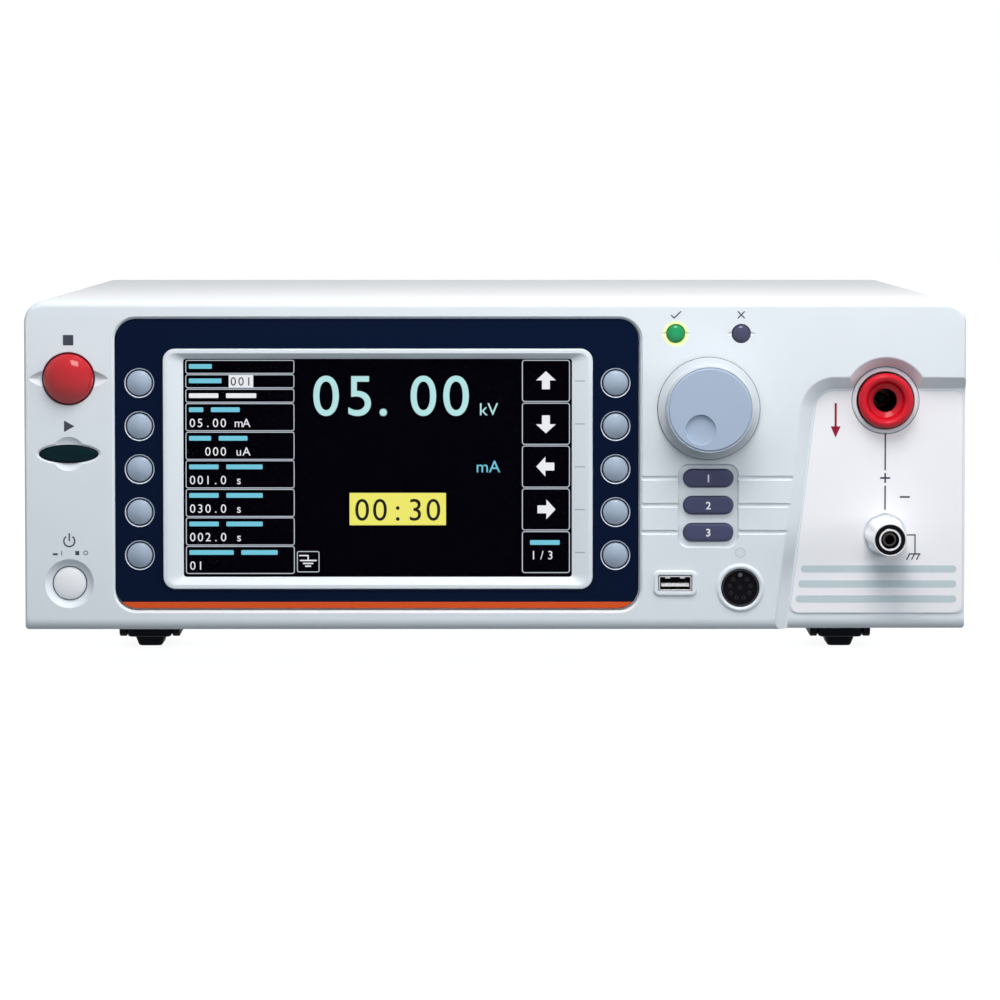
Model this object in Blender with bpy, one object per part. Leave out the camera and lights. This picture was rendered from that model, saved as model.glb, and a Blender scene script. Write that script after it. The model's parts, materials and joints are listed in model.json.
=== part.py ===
"""Bench hipot tester: a high-voltage withstand and insulation tester in a steel case.

X runs to the right, Y to the back and Z up. The origin is on the bench, under the
middle of the instrument. Every dimension below is in millimetres, and add_part turns
it into Blender's metres. A piece of the front panel is measured by its depth: 0 is the
front face, a larger depth lies behind it and a negative one stands proud of it. A piece
of the rear panel is measured outward from that panel's outer face in the same way.
"""

import math

import bmesh
import bpy
from mathutils import Matrix, Vector

MM = 0.001

# The case
WIDTH = 380.0
BOTTOM = 15.0
TOP = 148.0
FRONT = -203.0
BACK = 211.0
REAR_FACE = 209.5
SHEET = 1.2
GAP = 0.3

# The moulded fascia
FASCIA_DEPTH = 28.0
WALL = 3.0
SIDE_WALL = 2.6
EDGE_DEPTH = 3.0
EDGE_TOP = 3.0
EDGE_SIDE = 1.2
EDGE_BOTTOM = 4.4
EDGE_STEPS = 3
TOP_RADIUS = 9.0
LEDGE_FRONT = 3.3
LEDGE_BACK = 5.8
BOARD_DEPTH = 14.0
BOARD_THICK = 1.6
SWITCH_FRONT = 9.2

# The display: bezel, frame round the screen, and the opening that shows the picture
BEZEL = (-153.2, BOTTOM + 8.6, 57.9, BOTTOM + 125.5)
POCKET = (-154.5, BOTTOM + 6.7, 59.5, BOTTOM + 126.6)
FRAME = (-134.0, BOTTOM + 16.4, 39.3, BOTTOM + 113.5)
PICTURE = (-125.9, BOTTOM + 21.2, 31.0, BOTTOM + 109.4)
WINDOW = (-132.0, BOTTOM + 18.4, 37.3, BOTTOM + 111.5)
BEZEL_DEPTH = 1.2
FRAME_DEPTH = 0.2
FRAME_RIM = 1.6

# Controls, as (x, z) of each centre
SOFTKEY_X = {"left": -143.5, "right": 48.56}
SOFTKEY_TOP = BOTTOM + 99.7
SOFTKEY_PITCH = 17.4
SOFTKEY_ROWS = 5
SOFTKEY_RADIUS = 5.0
SOFTKEY_HOLE = 5.35
LEDGE_HOLE = 5.75
STOP = (-172.0, BOTTOM + 101.4)
START = (-172.0, BOTTOM + 71.1)
POWER = (-171.9, BOTTOM + 18.7)
PASS_LAMP = (72.75, BOTTOM + 119.6)
FAIL_LAMP = (99.1, BOTTOM + 119.6)
KNOB = (86.1, BOTTOM + 89.5)
FUNCTION_X = 86.0
FUNCTION_TOP = BOTTOM + 61.3
FUNCTION_PITCH = 10.95
FUNCTION_KEYS = 3
KEY_PLATE = (FUNCTION_X, BOTTOM + 50.1, 24.0, 33.4)
USB = (72.7, BOTTOM + 18.8)
REMOTE = (99.0, BOTTOM + 16.9)

# The output recess, with the high-voltage socket over the return terminal
OUTPUT_X = 157.7
HV_Z = BOTTOM + 92.5
RETURN_Z = BOTTOM + 37.9
RECESS_DEPTH = 5.4
RECESS_MOUTH = {"foot_x": 112.8, "lean": 0.1155, "top": 116.9, "corner": 14.0, "arch": 17.5}
RECESS_FLOOR = {"foot_x": 117.6, "lean": 0.1216, "top": 112.3, "corner": 9.0, "arch": 13.6}
COLLAR_RADIUS = 13.3
HV_RADIUS = 11.3
RETURN_REACH = 24.0

# The rear panel, as (x, z) of each centre
FAN = (-125.0, 84.0)
FAN_SIZE = 80.0
FAN_DEPTH = 25.0
FAN_BORE = 38.2
FAN_BLADES = 7
INLET = (150.0, 50.0)
FUSE_DROP = -10.6
SERIAL = (62.0, 42.0)
SIGNAL = (5.0, 42.0)
GROUND = (112.0, 40.0)

# The feet, as x of the centre and y of the block's front
FOOT_X = 145.4
FOOT_FRONT_Y = -113.0
FOOT_REAR_Y = 138.0
FOOT_LENGTH = 36.0
PAD_HEIGHT = 4.3
LEG_PIVOT = (-108.0, 8.0)


def front(u, v, w):
    """Outline seen from the front, run along Y."""
    return (u, w, v)


def side(u, v, w):
    """Outline seen from the side, run along X."""
    return (w, u, v)


def plan(u, v, w):
    """Outline seen from above, run along Z."""
    return (u, v, w)


def arc(cx, cz, radius, start, end, steps):
    """Points of an arc from start to end in degrees, both ends included."""
    angles = [math.radians(start + (end - start) * i / steps) for i in range(steps + 1)]
    return [(cx + radius * math.cos(a), cz + radius * math.sin(a)) for a in angles]


def circle(cx, cz, radius, steps=16):
    return arc(cx, cz, radius, 0, 360, steps)[:-1]


def ellipse(cx, cz, half_width, half_height, steps=18):
    return [(cx + x * half_width, cz + z * half_height) for x, z in circle(0, 0, 1, steps)]


def rounded(x0, z0, x1, z1, radii, steps=4):
    """A rectangle. Its radii run bottom left, bottom right, top right, top left."""
    radii = radii if isinstance(radii, tuple) else (radii,) * 4
    centres = [
        (x0 + radii[0], z0 + radii[0]),
        (x1 - radii[1], z0 + radii[1]),
        (x1 - radii[2], z1 - radii[2]),
        (x0 + radii[3], z1 - radii[3]),
    ]
    points = []
    for turn, (centre, radius) in enumerate(zip(centres, radii)):
        start = 180 + 90 * turn
        points += arc(*centre, radius, start, start + 90, steps)
    return points


def centred(cx, cz, width, height, radius, steps=4):
    half_width = width / 2
    half_height = height / 2
    return rounded(
        cx - half_width, cz - half_height, cx + half_width, cz + half_height, radius, steps
    )


def grown(box, amount):
    """A box (x0, z0, x1, z1) made larger by this much on each side."""
    x0, z0, x1, z1 = box
    return (x0 - amount, z0 - amount, x1 + amount, z1 + amount)


def eye(cx, cz, half_width, half_height, steps=5):
    """The lens shape between two equal arcs that meet at the left and the right."""
    radius = (half_width**2 + half_height**2) / (2 * half_height)
    spread = math.degrees(math.asin(half_width / radius))
    rise = radius - half_height
    lower = arc(cx, cz + rise, radius, 270 - spread, 270 + spread, steps)[:-1]
    upper = arc(cx, cz - rise, radius, 90 - spread, 90 + spread, steps)[:-1]
    return lower + upper


def fillet(before, corner, after, radius, steps):
    """Points of the arc that rounds this corner of a path."""
    corner = Vector(corner)
    to_before = (Vector(before) - corner).normalized()
    to_after = (Vector(after) - corner).normalized()
    half = to_before.angle(to_after) / 2
    centre = corner + (to_before + to_after).normalized() * (radius / math.sin(half))
    start = corner + to_before * (radius / math.tan(half)) - centre
    end = corner + to_after * (radius / math.tan(half)) - centre
    first = math.atan2(start.y, start.x)
    sweep = math.remainder(math.atan2(end.y, end.x) - first, math.tau)
    return arc(*centre, radius, math.degrees(first), math.degrees(first + sweep), steps)


def blended(first, second, share):
    """The outline this share of the way from the first to the second."""
    return [
        (x0 + (x1 - x0) * share, z0 + (z1 - z0) * share)
        for (x0, z0), (x1, z1) in zip(first, second)
    ]


def add_loft(bm, sections, view=front, ring=False):
    """Skins a row of (outline, distance) sections. A ring joins the last to the first."""
    rows = [[bm.verts.new(view(u, v, w)) for u, v in outline] for outline, w in sections]
    pairs = list(zip(rows, rows[1:]))
    if ring:
        pairs.append((rows[-1], rows[0]))
    else:
        bm.faces.new(rows[0])
        bm.faces.new(rows[-1])
    for near, far in pairs:
        for i in range(len(near)):
            j = (i + 1) % len(near)
            bm.faces.new((near[i], near[j], far[j], far[i]))
    return [vert for row in rows for vert in row]


def add_prism(bm, outline, start, end, view=front):
    return add_loft(bm, [(outline, start), (outline, end)], view)


def add_box(bm, low, high):
    """A box between two opposite corners."""
    size = Vector(high) - Vector(low)
    middle = (Vector(high) + Vector(low)) / 2
    bmesh.ops.create_cube(bm, size=1, matrix=Matrix.LocRotScale(middle, None, size))


def add_turned(bm, profile, steps=16, ring=False, at=(0, 0)):
    """Spins a (radius, depth) profile round a line along Y through (x, z)."""
    x, z = at
    verts = [bm.verts.new((x + radius, depth, z)) for radius, depth in profile]
    edges = [bm.edges.new(pair) for pair in zip(verts, verts[1:])]
    if ring:
        edges.append(bm.edges.new((verts[-1], verts[0])))
    bmesh.ops.spin(
        bm,
        geom=verts + edges,
        cent=(x, 0, z),
        axis=(0, 1, 0),
        angle=math.tau,
        steps=steps,
        use_merge=True,
    )


def shaped(*calls):
    """A bmesh holding what each (function, argument, ...) call adds."""
    bm = bmesh.new()
    for add, *values in calls:
        add(bm, *values)
    return bm


def mesh_from(name, bm):
    """Closes the seams of a bmesh in millimetres and returns it as a mesh in metres."""
    bmesh.ops.remove_doubles(bm, verts=bm.verts, dist=0.0001)
    bmesh.ops.recalc_face_normals(bm, faces=bm.faces)
    bmesh.ops.scale(bm, vec=(MM, MM, MM), verts=bm.verts)
    mesh = bpy.data.meshes.new(name)
    bm.to_mesh(mesh)
    bm.free()
    mesh.shade_smooth()
    mesh.set_sharp_from_angle(angle=math.radians(35))
    return mesh


def link(name, mesh, at):
    obj = bpy.data.objects.new(name, mesh)
    obj.location = Vector(at) * MM
    bpy.context.collection.objects.link(obj)
    return obj


def add_part(name, bm, at, colour, roughness=0.5, metallic=0.0):
    """One named piece of the instrument, with a material of its own."""
    material = bpy.data.materials.new(name)
    material.use_nodes = True
    shader = material.node_tree.nodes["Principled BSDF"]
    shader.inputs["Base Color"].default_value = (*colour, 1.0)
    shader.inputs["Roughness"].default_value = roughness
    shader.inputs["Metallic"].default_value = metallic
    mesh = mesh_from(name, bm)
    mesh.materials.append(material)
    return link(name, mesh, at)


def add_copies(source, names_and_places):
    """More pieces that share the source's mesh."""
    for name, at in names_and_places:
        link(name, source.data, at)


def reshape(obj, operation, name, bm):
    """Cuts a hidden shape out of the piece, or joins it on. It lies in the piece's own axes."""
    tool = link(name, mesh_from(name, bm), obj.location / MM)
    tool.hide_render = True
    tool.display_type = "WIRE"
    modifier = obj.modifiers.new(name, "BOOLEAN")
    modifier.operation = operation
    modifier.object = tool
    modifier.solver = "EXACT"


def cut(obj, name, bm):
    reshape(obj, "DIFFERENCE", name, bm)


def join(obj, name, bm):
    reshape(obj, "UNION", name, bm)


PANEL_WHITE = (0.80, 0.82, 0.86)
NAVY = (0.010, 0.016, 0.060)
KEY_GREY = (0.36, 0.44, 0.56)
SLATE = (0.055, 0.062, 0.130)
RED = (0.55, 0.012, 0.022)
BLACK = (0.012, 0.012, 0.014)
STEEL = (0.62, 0.63, 0.65)
BOARD_GREEN = (0.02, 0.16, 0.06)
RUBBER = (0.018, 0.020, 0.026)


def softkey_places():
    """Name and (x, z) of every softkey, down each side of the screen."""
    return [
        (f"softkey_{which}_{row + 1}", (x, SOFTKEY_TOP - SOFTKEY_PITCH * row))
        for which, x in SOFTKEY_X.items()
        for row in range(SOFTKEY_ROWS)
    ]


def function_places():
    return [(FUNCTION_X, FUNCTION_TOP - FUNCTION_PITCH * row) for row in range(FUNCTION_KEYS)]


def on_front(place):
    """World position of the front face at this (x, z)."""
    return (place[0], FRONT, place[1])


def on_rear(place):
    return (place[0], REAR_FACE, place[1])


def case_outline(share):
    """The case seen from the front, moved in by this share of its edge rounding."""
    half = WIDTH / 2 - EDGE_SIDE * share
    corner = TOP_RADIUS - 2 * share
    return rounded(
        -half,
        BOTTOM + EDGE_BOTTOM * share,
        half,
        TOP - EDGE_TOP * share,
        (1.5, 1.5, corner, corner),
        steps=5,
    )


def edge_section(share):
    """Inset and depth of the front edge's quarter round, each as a share of the whole."""
    angle = math.radians(90 * share)
    return 1 - math.cos(angle), 1 - math.sin(angle)


def output_outline(foot_x, lean, top, corner, arch, low=BOTTOM - 1, right=WIDTH / 2 + 1):
    """The output recess: a leaning side, a rounded shoulder and an arch over the socket."""
    rise = math.degrees(math.asin((top - HV_Z) / arch))
    foot = (foot_x + lean * (low - BOTTOM), low)
    shoulder = (foot_x + lean * (top - BOTTOM), top)
    return (
        [foot, (right, low), (right, top)]
        + arc(OUTPUT_X, HV_Z, arch, rise, 180 - rise, 10)
        + fillet((OUTPUT_X - arch, top), shoulder, foot, corner, 5)
    )


def front_fascia():
    """The moulded front, with its pockets, output recess, sockets' collars and bosses."""
    sections = [(case_outline(0), FASCIA_DEPTH)]
    for step in range(EDGE_STEPS + 1):
        inset, depth = edge_section(step / EDGE_STEPS)
        sections.append((case_outline(inset), EDGE_DEPTH * depth))
    fascia = add_part(
        "front_fascia", shaped((add_loft, sections)), (0, FRONT, 0), PANEL_WHITE, 0.42
    )
    inside = grown((-WIDTH / 2, BOTTOM, WIDTH / 2, TOP), -SIDE_WALL)
    hollow = rounded(*inside, (1.0, 1.0, 6.4, 6.4))
    cut(fascia, "fascia_hollow", shaped((add_prism, hollow, WALL, FASCIA_DEPTH + 1)))
    join(fascia, "fascia_backing", fascia_backing())
    cut(fascia, "fascia_recesses", fascia_recesses())
    cut(fascia, "fascia_grooves", fascia_grooves())
    join(fascia, "fascia_collars", fascia_collars())
    cut(fascia, "fascia_holes", fascia_holes())


def fascia_backing():
    """Thicker wall behind the display and the output recess, and the posts for the boards."""
    thick = RECESS_DEPTH + SIDE_WALL
    tub = output_outline(
        RECESS_MOUTH["foot_x"] - SIDE_WALL,
        RECESS_MOUTH["lean"],
        RECESS_MOUTH["top"] + SIDE_WALL,
        RECESS_MOUTH["corner"] + SIDE_WALL,
        RECESS_MOUTH["arch"] + SIDE_WALL,
        low=BOTTOM + 1,
        right=WIDTH / 2 - 1,
    )
    bm = shaped(
        (add_prism, tub, WALL - 0.4, thick),
        (add_prism, rounded(*grown(POCKET, 1.2), 9.5), WALL - 0.4, LEDGE_BACK),
        (add_prism, circle(*POWER, 9.4, 12), WALL - 0.4, 8.0),
    )
    for x, z in ((-182, 24.5), (-182, 139), (182, 139), (182, 24.5)):
        add_prism(bm, circle(x, z, 3.5, 6), 2.7, FASCIA_DEPTH)
    board_posts = ((-143.5, 26.5), (48.56, 26.5), (-143.5, 134), (48.56, 134), (110.5, 50))
    for x, z in board_posts + ((112, 138), (-182.5, 78), (-160.5, 128)):
        add_prism(bm, circle(x, z, 2.5, 6), 2.7, BOARD_DEPTH - GAP)
    return bm


def fascia_recesses():
    """What is sunk into the front face, up to but not through the wall."""
    mouth = output_outline(**RECESS_MOUTH)
    floor = output_outline(**RECESS_FLOOR)
    proud = blended(mouth, floor, -1.0 / RECESS_DEPTH)
    pocket_front = rounded(*POCKET, 9.6)
    pocket_back = rounded(*grown(BEZEL, 0.15), 8.6)
    plate_x, plate_z, plate_width, plate_height = KEY_PLATE
    return shaped(
        (add_loft, [(proud, -1.0), (floor, RECESS_DEPTH)]),
        (add_loft, [(pocket_front, -1), (pocket_front, 0), (pocket_back, BEZEL_DEPTH),
                    (pocket_back, LEDGE_FRONT)]),
        (add_loft, [(eye(*STOP, 16.4, 6.3, 6), -0.4), (eye(*STOP, 13.4, 4.3, 6), 1.7)]),
        (add_loft, [(circle(*START, 6.9), -0.4), (circle(*START, 5.4), 1.8)]),
        (add_loft, [(circle(*POWER, 9.9), -0.4), (circle(*POWER, 7.3), 2.6)]),
        (add_loft, [(eye(*PASS_LAMP, 6.1, 2.3), -0.4), (eye(*PASS_LAMP, 4.9, 1.5), 0.7)]),
        (add_loft, [(eye(*FAIL_LAMP, 6.1, 2.3), -0.4), (eye(*FAIL_LAMP, 4.9, 1.5), 0.7)]),
        (add_loft, [(centred(plate_x, plate_z, plate_width + 0.6, plate_height + 0.6, 4.3), -0.4),
                    (centred(plate_x, plate_z, plate_width - 1.6, plate_height - 1.6, 3.4), 1.0)]),
    )


def fascia_collars():
    """Raised rims round the high-voltage socket, the USB port and the remote socket."""
    hv_rim = [(11.8, 7.0), (11.8, 1.0), (12.2, 0.6), (COLLAR_RADIUS, 0.6), (COLLAR_RADIUS, 7.0)]
    remote_rim = [(7.8, 2.0), (7.8, -0.2), (8.8, -0.9), (9.8, 0.2), (9.8, 2.0)]
    usb_low = centred(*USB, 17.9, 11.1, 2.4, 3)
    usb_high = centred(*USB, 16.6, 9.8, 1.9, 3)
    return shaped(
        (add_turned, hv_rim, 20, True, (OUTPUT_X, HV_Z)),
        (add_turned, remote_rim, 16, True, REMOTE),
        (add_loft, [(usb_low, 2.0), (usb_low, -0.1), (usb_high, -0.8)]),
    )


def fascia_holes():
    """Everything that goes through the front wall."""
    outlines = [
        rounded(*WINDOW, 3.0),
        circle(*STOP, 10.9, 20),
        ellipse(*START, 12.55, 4.05),
        circle(*POWER, 7.0),
        circle(*PASS_LAMP, 3.95, 10),
        circle(*FAIL_LAMP, 3.95, 10),
        circle(*KNOB, 4.85, 12),
        centred(*USB, 13.6, 6.4, 0.6, 1),
        circle(*REMOTE, 7.75, 16),
        circle(OUTPUT_X, HV_Z, 11.75, 20),
        circle(OUTPUT_X, RETURN_Z, 6.4),
    ]
    outlines += [circle(*place, LEDGE_HOLE, 8) for _, place in softkey_places()]
    outlines += [centred(*place, 20.4, 7.5, 3.74, 3) for place in function_places()]
    return shaped(*[(add_prism, outline, -2, 9) for outline in outlines])


def fascia_grooves():
    """Lines from the display to the keys and on to the recess: a wall above, a slope below."""
    bm = bmesh.new()
    plate_x, _, plate_width, _ = KEY_PLATE
    for x, z in function_places():
        top = z + 1.0
        profile = [(-0.6, top), (0.7, top - 0.35), (-0.6, top - 3.0)]
        reach = RECESS_MOUTH["foot_x"] + RECESS_MOUTH["lean"] * (top - BOTTOM) + 0.6
        add_prism(bm, profile, POCKET[2] - 0.6, plate_x - plate_width / 2 + 0.5, side)
        add_prism(bm, profile, plate_x + plate_width / 2 - 0.5, reach, side)
    profile = []
    for step in range(EDGE_STEPS + 1):
        inset, depth = edge_section(step / EDGE_STEPS)
        profile.append((RECESS_DEPTH + EDGE_DEPTH * depth, BOTTOM + EDGE_BOTTOM * inset))
    profile += [(RECESS_DEPTH - 1, BOTTOM + EDGE_BOTTOM), (RECESS_DEPTH - 1, BOTTOM - 1)]
    profile.append((RECESS_DEPTH + EDGE_DEPTH, BOTTOM - 1))
    add_prism(bm, profile, RECESS_FLOOR["foot_x"] + 0.2, WIDTH / 2 + 1, side)
    return bm


def display_bezel():
    bezel = add_part(
        "display_bezel",
        shaped((add_prism, rounded(*BEZEL, 8.5), BEZEL_DEPTH, LEDGE_FRONT - GAP)),
        (0, FRONT, 0), NAVY, 0.35,
    )
    bm = shaped((add_prism, rounded(*grown(FRAME, 0.25), 5.2), 0, 5))
    for _, (x, z) in softkey_places():
        wide = circle(x, z, SOFTKEY_HOLE + 0.6, 12)
        narrow = circle(x, z, SOFTKEY_HOLE, 12)
        add_loft(bm, [(wide, BEZEL_DEPTH - 0.4), (narrow, 5)])
    cut(bezel, "bezel_openings", bm)


def screen_parts():
    """The frame with sloped reveals, the cover glass and the display module behind it."""
    back = LEDGE_FRONT - GAP
    rim = rounded(*grown(FRAME, -FRAME_RIM), 3.8)
    opening = rounded(*PICTURE, 2.0)
    reveal = [
        (rounded(*FRAME, 5.0), back),
        (rounded(*FRAME, 5.0), FRAME_DEPTH + 0.3),
        (rounded(*grown(FRAME, -0.3), 4.8), FRAME_DEPTH),
        (rim, FRAME_DEPTH),
        (opening, back - 0.4),
        (opening, back),
    ]
    frame = shaped((add_loft, reveal, front, True))
    add_part("screen_frame", frame, (0, FRONT, 0), PANEL_WHITE, 0.42)
    glass = rounded(*grown(WINDOW, -0.6), 2.4)
    add_part(
        "screen_glass", shaped((add_prism, glass, 3.4, 4.5)), (0, FRONT, 0), (0.02, 0.02, 0.03), 0.05
    )
    middle = ((PICTURE[0] + PICTURE[2]) / 2, (PICTURE[1] + PICTURE[3]) / 2)
    panel = centred(*middle, 159, 90.6, 1.0, 2)
    tray = centred(*middle, 165, 100, 1.5, 2)
    steps = [(panel, 4.8), (panel, 6.2), (tray, 6.2), (tray, BOARD_DEPTH - GAP)]
    add_part("lcd_module", shaped((add_loft, steps)), (0, FRONT, 0), STEEL, 0.4, 0.8)


def switch_board(name, outline, switches):
    """A circuit board behind the fascia, with a push switch in front of it at each place."""
    board = shaped((add_prism, outline, BOARD_DEPTH, BOARD_DEPTH + BOARD_THICK))
    board = add_part(name, board, (0, FRONT, 0), BOARD_GREEN, 0.45)
    bm = bmesh.new()
    for x, z in switches:
        add_box(bm, (x - 3, SWITCH_FRONT, z - 3), (x + 3, BOARD_DEPTH + 0.4, z + 3))
    join(board, name + "_switches", bm)


def softkeys():
    """Round caps, each held behind the ledge by a flange."""
    profile = [(0, 0.15), (SOFTKEY_RADIUS - 0.3, 0.5), (SOFTKEY_RADIUS, 6.1), (5.8, 6.1),
               (5.8, 7.4), (0, 7.4)]
    (name, place), *others = softkey_places()
    cap = shaped((add_turned, profile, 12))
    first = add_part(name, cap, on_front(place), KEY_GREY, 0.5)
    add_copies(first, [(other, on_front(where)) for other, where in others])


def function_keys():
    """Long keys with rounded ends, numbered from the top."""
    sections = [
        (centred(0, 0, 18.7, 5.8, 2.89, 3), -0.6),
        (centred(0, 0, 19.9, 7.0, 3.49, 3), 0.1),
        (centred(0, 0, 19.9, 7.0, 3.49, 3), 3.4),
        (centred(0, 0, 21.6, 8.6, 4.29, 3), 3.4),
        (centred(0, 0, 21.6, 8.6, 4.29, 3), 7.4),
    ]
    first, *others = function_places()
    cap = shaped((add_loft, sections))
    source = add_part("function_key_1", cap, on_front(first), SLATE, 0.45)
    add_copies(
        source, [(f"function_key_{n}", on_front(where)) for n, where in enumerate(others, 2)]
    )


def side_buttons():
    """Stop, start and power at the left end, and the switch that power latches into."""
    dome = [(0, -5.6), (4.0, -5.0), (7.6, -3.2), (9.8, -0.6), (10.2, 1.0), (10.2, 6.0), (0, 6.0)]
    add_part("stop_button", shaped((add_turned, dome, 20)), on_front(STOP), RED, 0.15)
    oval = [
        (ellipse(0, 0, 11.4, 3.0), -1.3),
        (ellipse(0, 0, 12.2, 3.7), -0.6),
        (ellipse(0, 0, 12.2, 3.7), 6.0),
    ]
    add_part("start_button", shaped((add_loft, oval)), on_front(START), (0.0, 0.02, 0.022), 0.3)
    cap = [(0, 1.1), (3.6, 1.3), (5.9, 1.9), (6.6, 2.7), (6.6, 11.0), (0, 11.0)]
    add_part("power_button", shaped((add_turned, cap)), on_front(POWER), PANEL_WHITE, 0.4)
    body = [
        (centred(0, 0, 4, 4, 1.0, 1), 11.4),
        (centred(0, 0, 4, 4, 1.0, 1), 15.0),
        (centred(0, 0, 15, 15, 0.6, 1), 15.0),
        (centred(0, 0, 15, 15, 0.6, 1), FASCIA_DEPTH),
    ]
    add_part("power_switch", shaped((add_loft, body)), on_front(POWER), BLACK, 0.5)


def lamps():
    """Domed lenses on spacers that stand on the panel's board."""
    profile = [(0, -1.1), (2.0, -0.8), (3.6, 0.8), (3.6, 4.0), (2.6, 4.0),
               (2.6, BOARD_DEPTH - GAP), (0, BOARD_DEPTH - GAP)]
    lens = shaped((add_turned, profile, 10))
    add_part("pass_lamp", lens, on_front(PASS_LAMP), (0.0, 0.35, 0.08), 0.2)
    lens = shaped((add_turned, profile, 10))
    add_part("fail_lamp", lens, on_front(FAIL_LAMP), (0.06, 0.06, 0.12), 0.2)


def knob_and_encoder():
    """A tapered shell knob with a finger dimple, its shaft, and the encoder on the board."""
    face = -14.6
    shell = [(0, face), (16.2, face), (17.1, face + 0.8), (20.8, -0.6), (18.6, -0.6),
             (15.2, -11.4), (6.2, -11.4), (6.2, -2.2), (3.3, -2.2), (3.3, -12.3), (0, -12.3)]
    knob = add_part("knob", shaped((add_turned, shell, 24)), on_front(KNOB), KEY_GREY, 0.45)
    dish = [(0, face + 1.7), (3.4, face + 1.4), (6.0, face + 0.5), (6.3, face - 0.5),
            (0, face - 0.5)]
    cut(knob, "knob_dimple", shaped((add_turned, dish, 12, False, (-3.8, -8.6))))
    shaft = [(0, -11.9), (2.6, -11.9), (3.0, -11.5), (3.0, 9.6), (0, 9.6)]
    add_part("encoder_shaft", shaped((add_turned, shaft, 8)), on_front(KNOB), STEEL, 0.3, 1.0)
    bush = [(3.35, -1.5), (4.5, -1.5), (4.5, 10.2), (3.35, 10.2)]
    case = shaped((add_prism, centred(0, 0, 13, 13, 0.8, 2), 9.9, BOARD_DEPTH - GAP))
    encoder = add_part("encoder_body", case, on_front(KNOB), STEEL, 0.35, 0.9)
    join(encoder, "encoder_bush", shaped((add_turned, bush, 8, True)))


def signal_sockets():
    """The USB port with its tongue, and the round remote socket, both on the board."""
    back = BOARD_DEPTH - GAP
    shell = shaped((add_prism, centred(0, 0, 13.1, 5.9, 0.5, 2), -0.2, back))
    usb = add_part("usb_port", shell, on_front(USB), STEEL, 0.3, 1.0)
    cut(usb, "usb_mouth", shaped((add_prism, centred(0, 0, 12.3, 5.1, 0.3, 2), -1, 9.0)))
    join(usb, "usb_tongue", shaped((add_box, (-5.5, 1.0, -1.4), (5.5, 9.4, 0.3))))
    profile = [(0, 1.4), (6.6, 1.4), (6.8, 0.7), (7.4, 0.7), (7.4, 9), (6.2, 9), (6.2, back),
               (0, back)]
    socket = shaped((add_turned, profile, 16))
    remote = add_part("remote_socket", socket, on_front(REMOTE), BLACK, 0.4)
    holes = [(add_prism, circle(x, z, 0.7, 4), 0, 6) for x, z in circle(0, -0.5, 3.9, 6)]
    cut(remote, "remote_pin_holes", shaped(*holes))


def output_terminals():
    """The high-voltage socket, and the return terminal that stands out of the recess."""
    hv_place = (OUTPUT_X, FRONT, HV_Z)
    socket = [(4.5, 6.0), (7.0, 4.6), (7.6, 1.4), (8.7, -0.5), (10.0, -0.5), (HV_RADIUS, 0.9),
              (HV_RADIUS, 12), (8.5, 12), (8.5, 46), (2.4, 46), (2.4, 43), (4.5, 43)]
    add_part("hv_socket", shaped((add_turned, socket, 20, True)), hv_place, RED, 0.25)
    pin = [(0, 24), (1.2, 24.3), (2.0, 25.5), (2.0, 52), (0, 52)]
    add_part("hv_contact", shaped((add_turned, pin, 8)), hv_place, STEEL, 0.3, 1.0)
    place = (OUTPUT_X, FRONT, RETURN_Z)
    floor = RECESS_DEPTH - GAP
    tip = -RETURN_REACH
    sleeve = [
        (fluted(8.3, 0.5), floor),
        (fluted(8.0, 0.7), -1.0),
        (fluted(6.75, 0.0), tip + 0.7),
        (fluted(6.45, 0.0), tip),
        (fluted(6.2, 0.0), tip),
        (fluted(6.2, 0.0), floor),
    ]
    collar = shaped((add_loft, sleeve, front, True))
    add_part("return_collar", collar, place, PANEL_WHITE, 0.35)
    tube = [(4.65, tip + 0.4), (5.7, tip + 0.4), (5.9, tip + 0.7), (5.9, 30), (4.65, 30)]
    insulator = shaped((add_turned, tube, 12, True))
    add_part("return_insulator", insulator, place, BLACK, 0.4)
    contact = [(0, -6), (1.95, -6), (1.95, -20.6), (2.85, -20.6), (2.85, -6), (3.55, -6),
               (3.55, tip + 0.2), (4.35, tip + 0.2), (4.35, 38), (0, 38)]
    add_part("return_contact", shaped((add_turned, contact, 12)), place, STEEL, 0.25, 1.0)


def fluted(radius, depth, flutes=8, steps=24):
    """A circle with this many shallow flutes, each a cosine wave cut into the radius."""
    points = []
    for i in range(steps):
        angle = math.tau * i / steps
        reach = radius - depth * (0.5 - 0.5 * math.cos(flutes * angle))
        points.append((reach * math.cos(angle), reach * math.sin(angle)))
    return points


def output_plate():
    """The thin label plate on the recess floor, cut away round both terminals."""
    floor = RECESS_FLOOR
    right = WIDTH / 2 - 1.4
    low = BOTTOM + 6.0
    top = floor["top"] - 0.6
    left = (floor["foot_x"] + 0.7 + floor["lean"] * (low - BOTTOM), low)
    shoulder = (floor["foot_x"] + 0.7 + floor["lean"] * (top - BOTTOM), top)
    outline = (
        fillet(shoulder, left, (right, low), 4.0, 4)
        + fillet(left, (right, low), (right, top), 4.0, 4)
        + fillet((right, low), (right, top), shoulder, 4.0, 4)
        + fillet((right, top), shoulder, left, floor["corner"] - 0.6, 5)
    )
    back = RECESS_DEPTH - GAP
    plate = shaped((add_prism, outline, back - 0.4, back))
    plate = add_part("output_plate", plate, (0, FRONT, 0), PANEL_WHITE, 0.3)
    openings = shaped(
        (add_prism, circle(OUTPUT_X, HV_Z, COLLAR_RADIUS + 0.4, 20), 0, 9),
        (add_prism, circle(OUTPUT_X, RETURN_Z, 8.8), 0, 9),
    )
    cut(plate, "plate_openings", openings)


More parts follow.
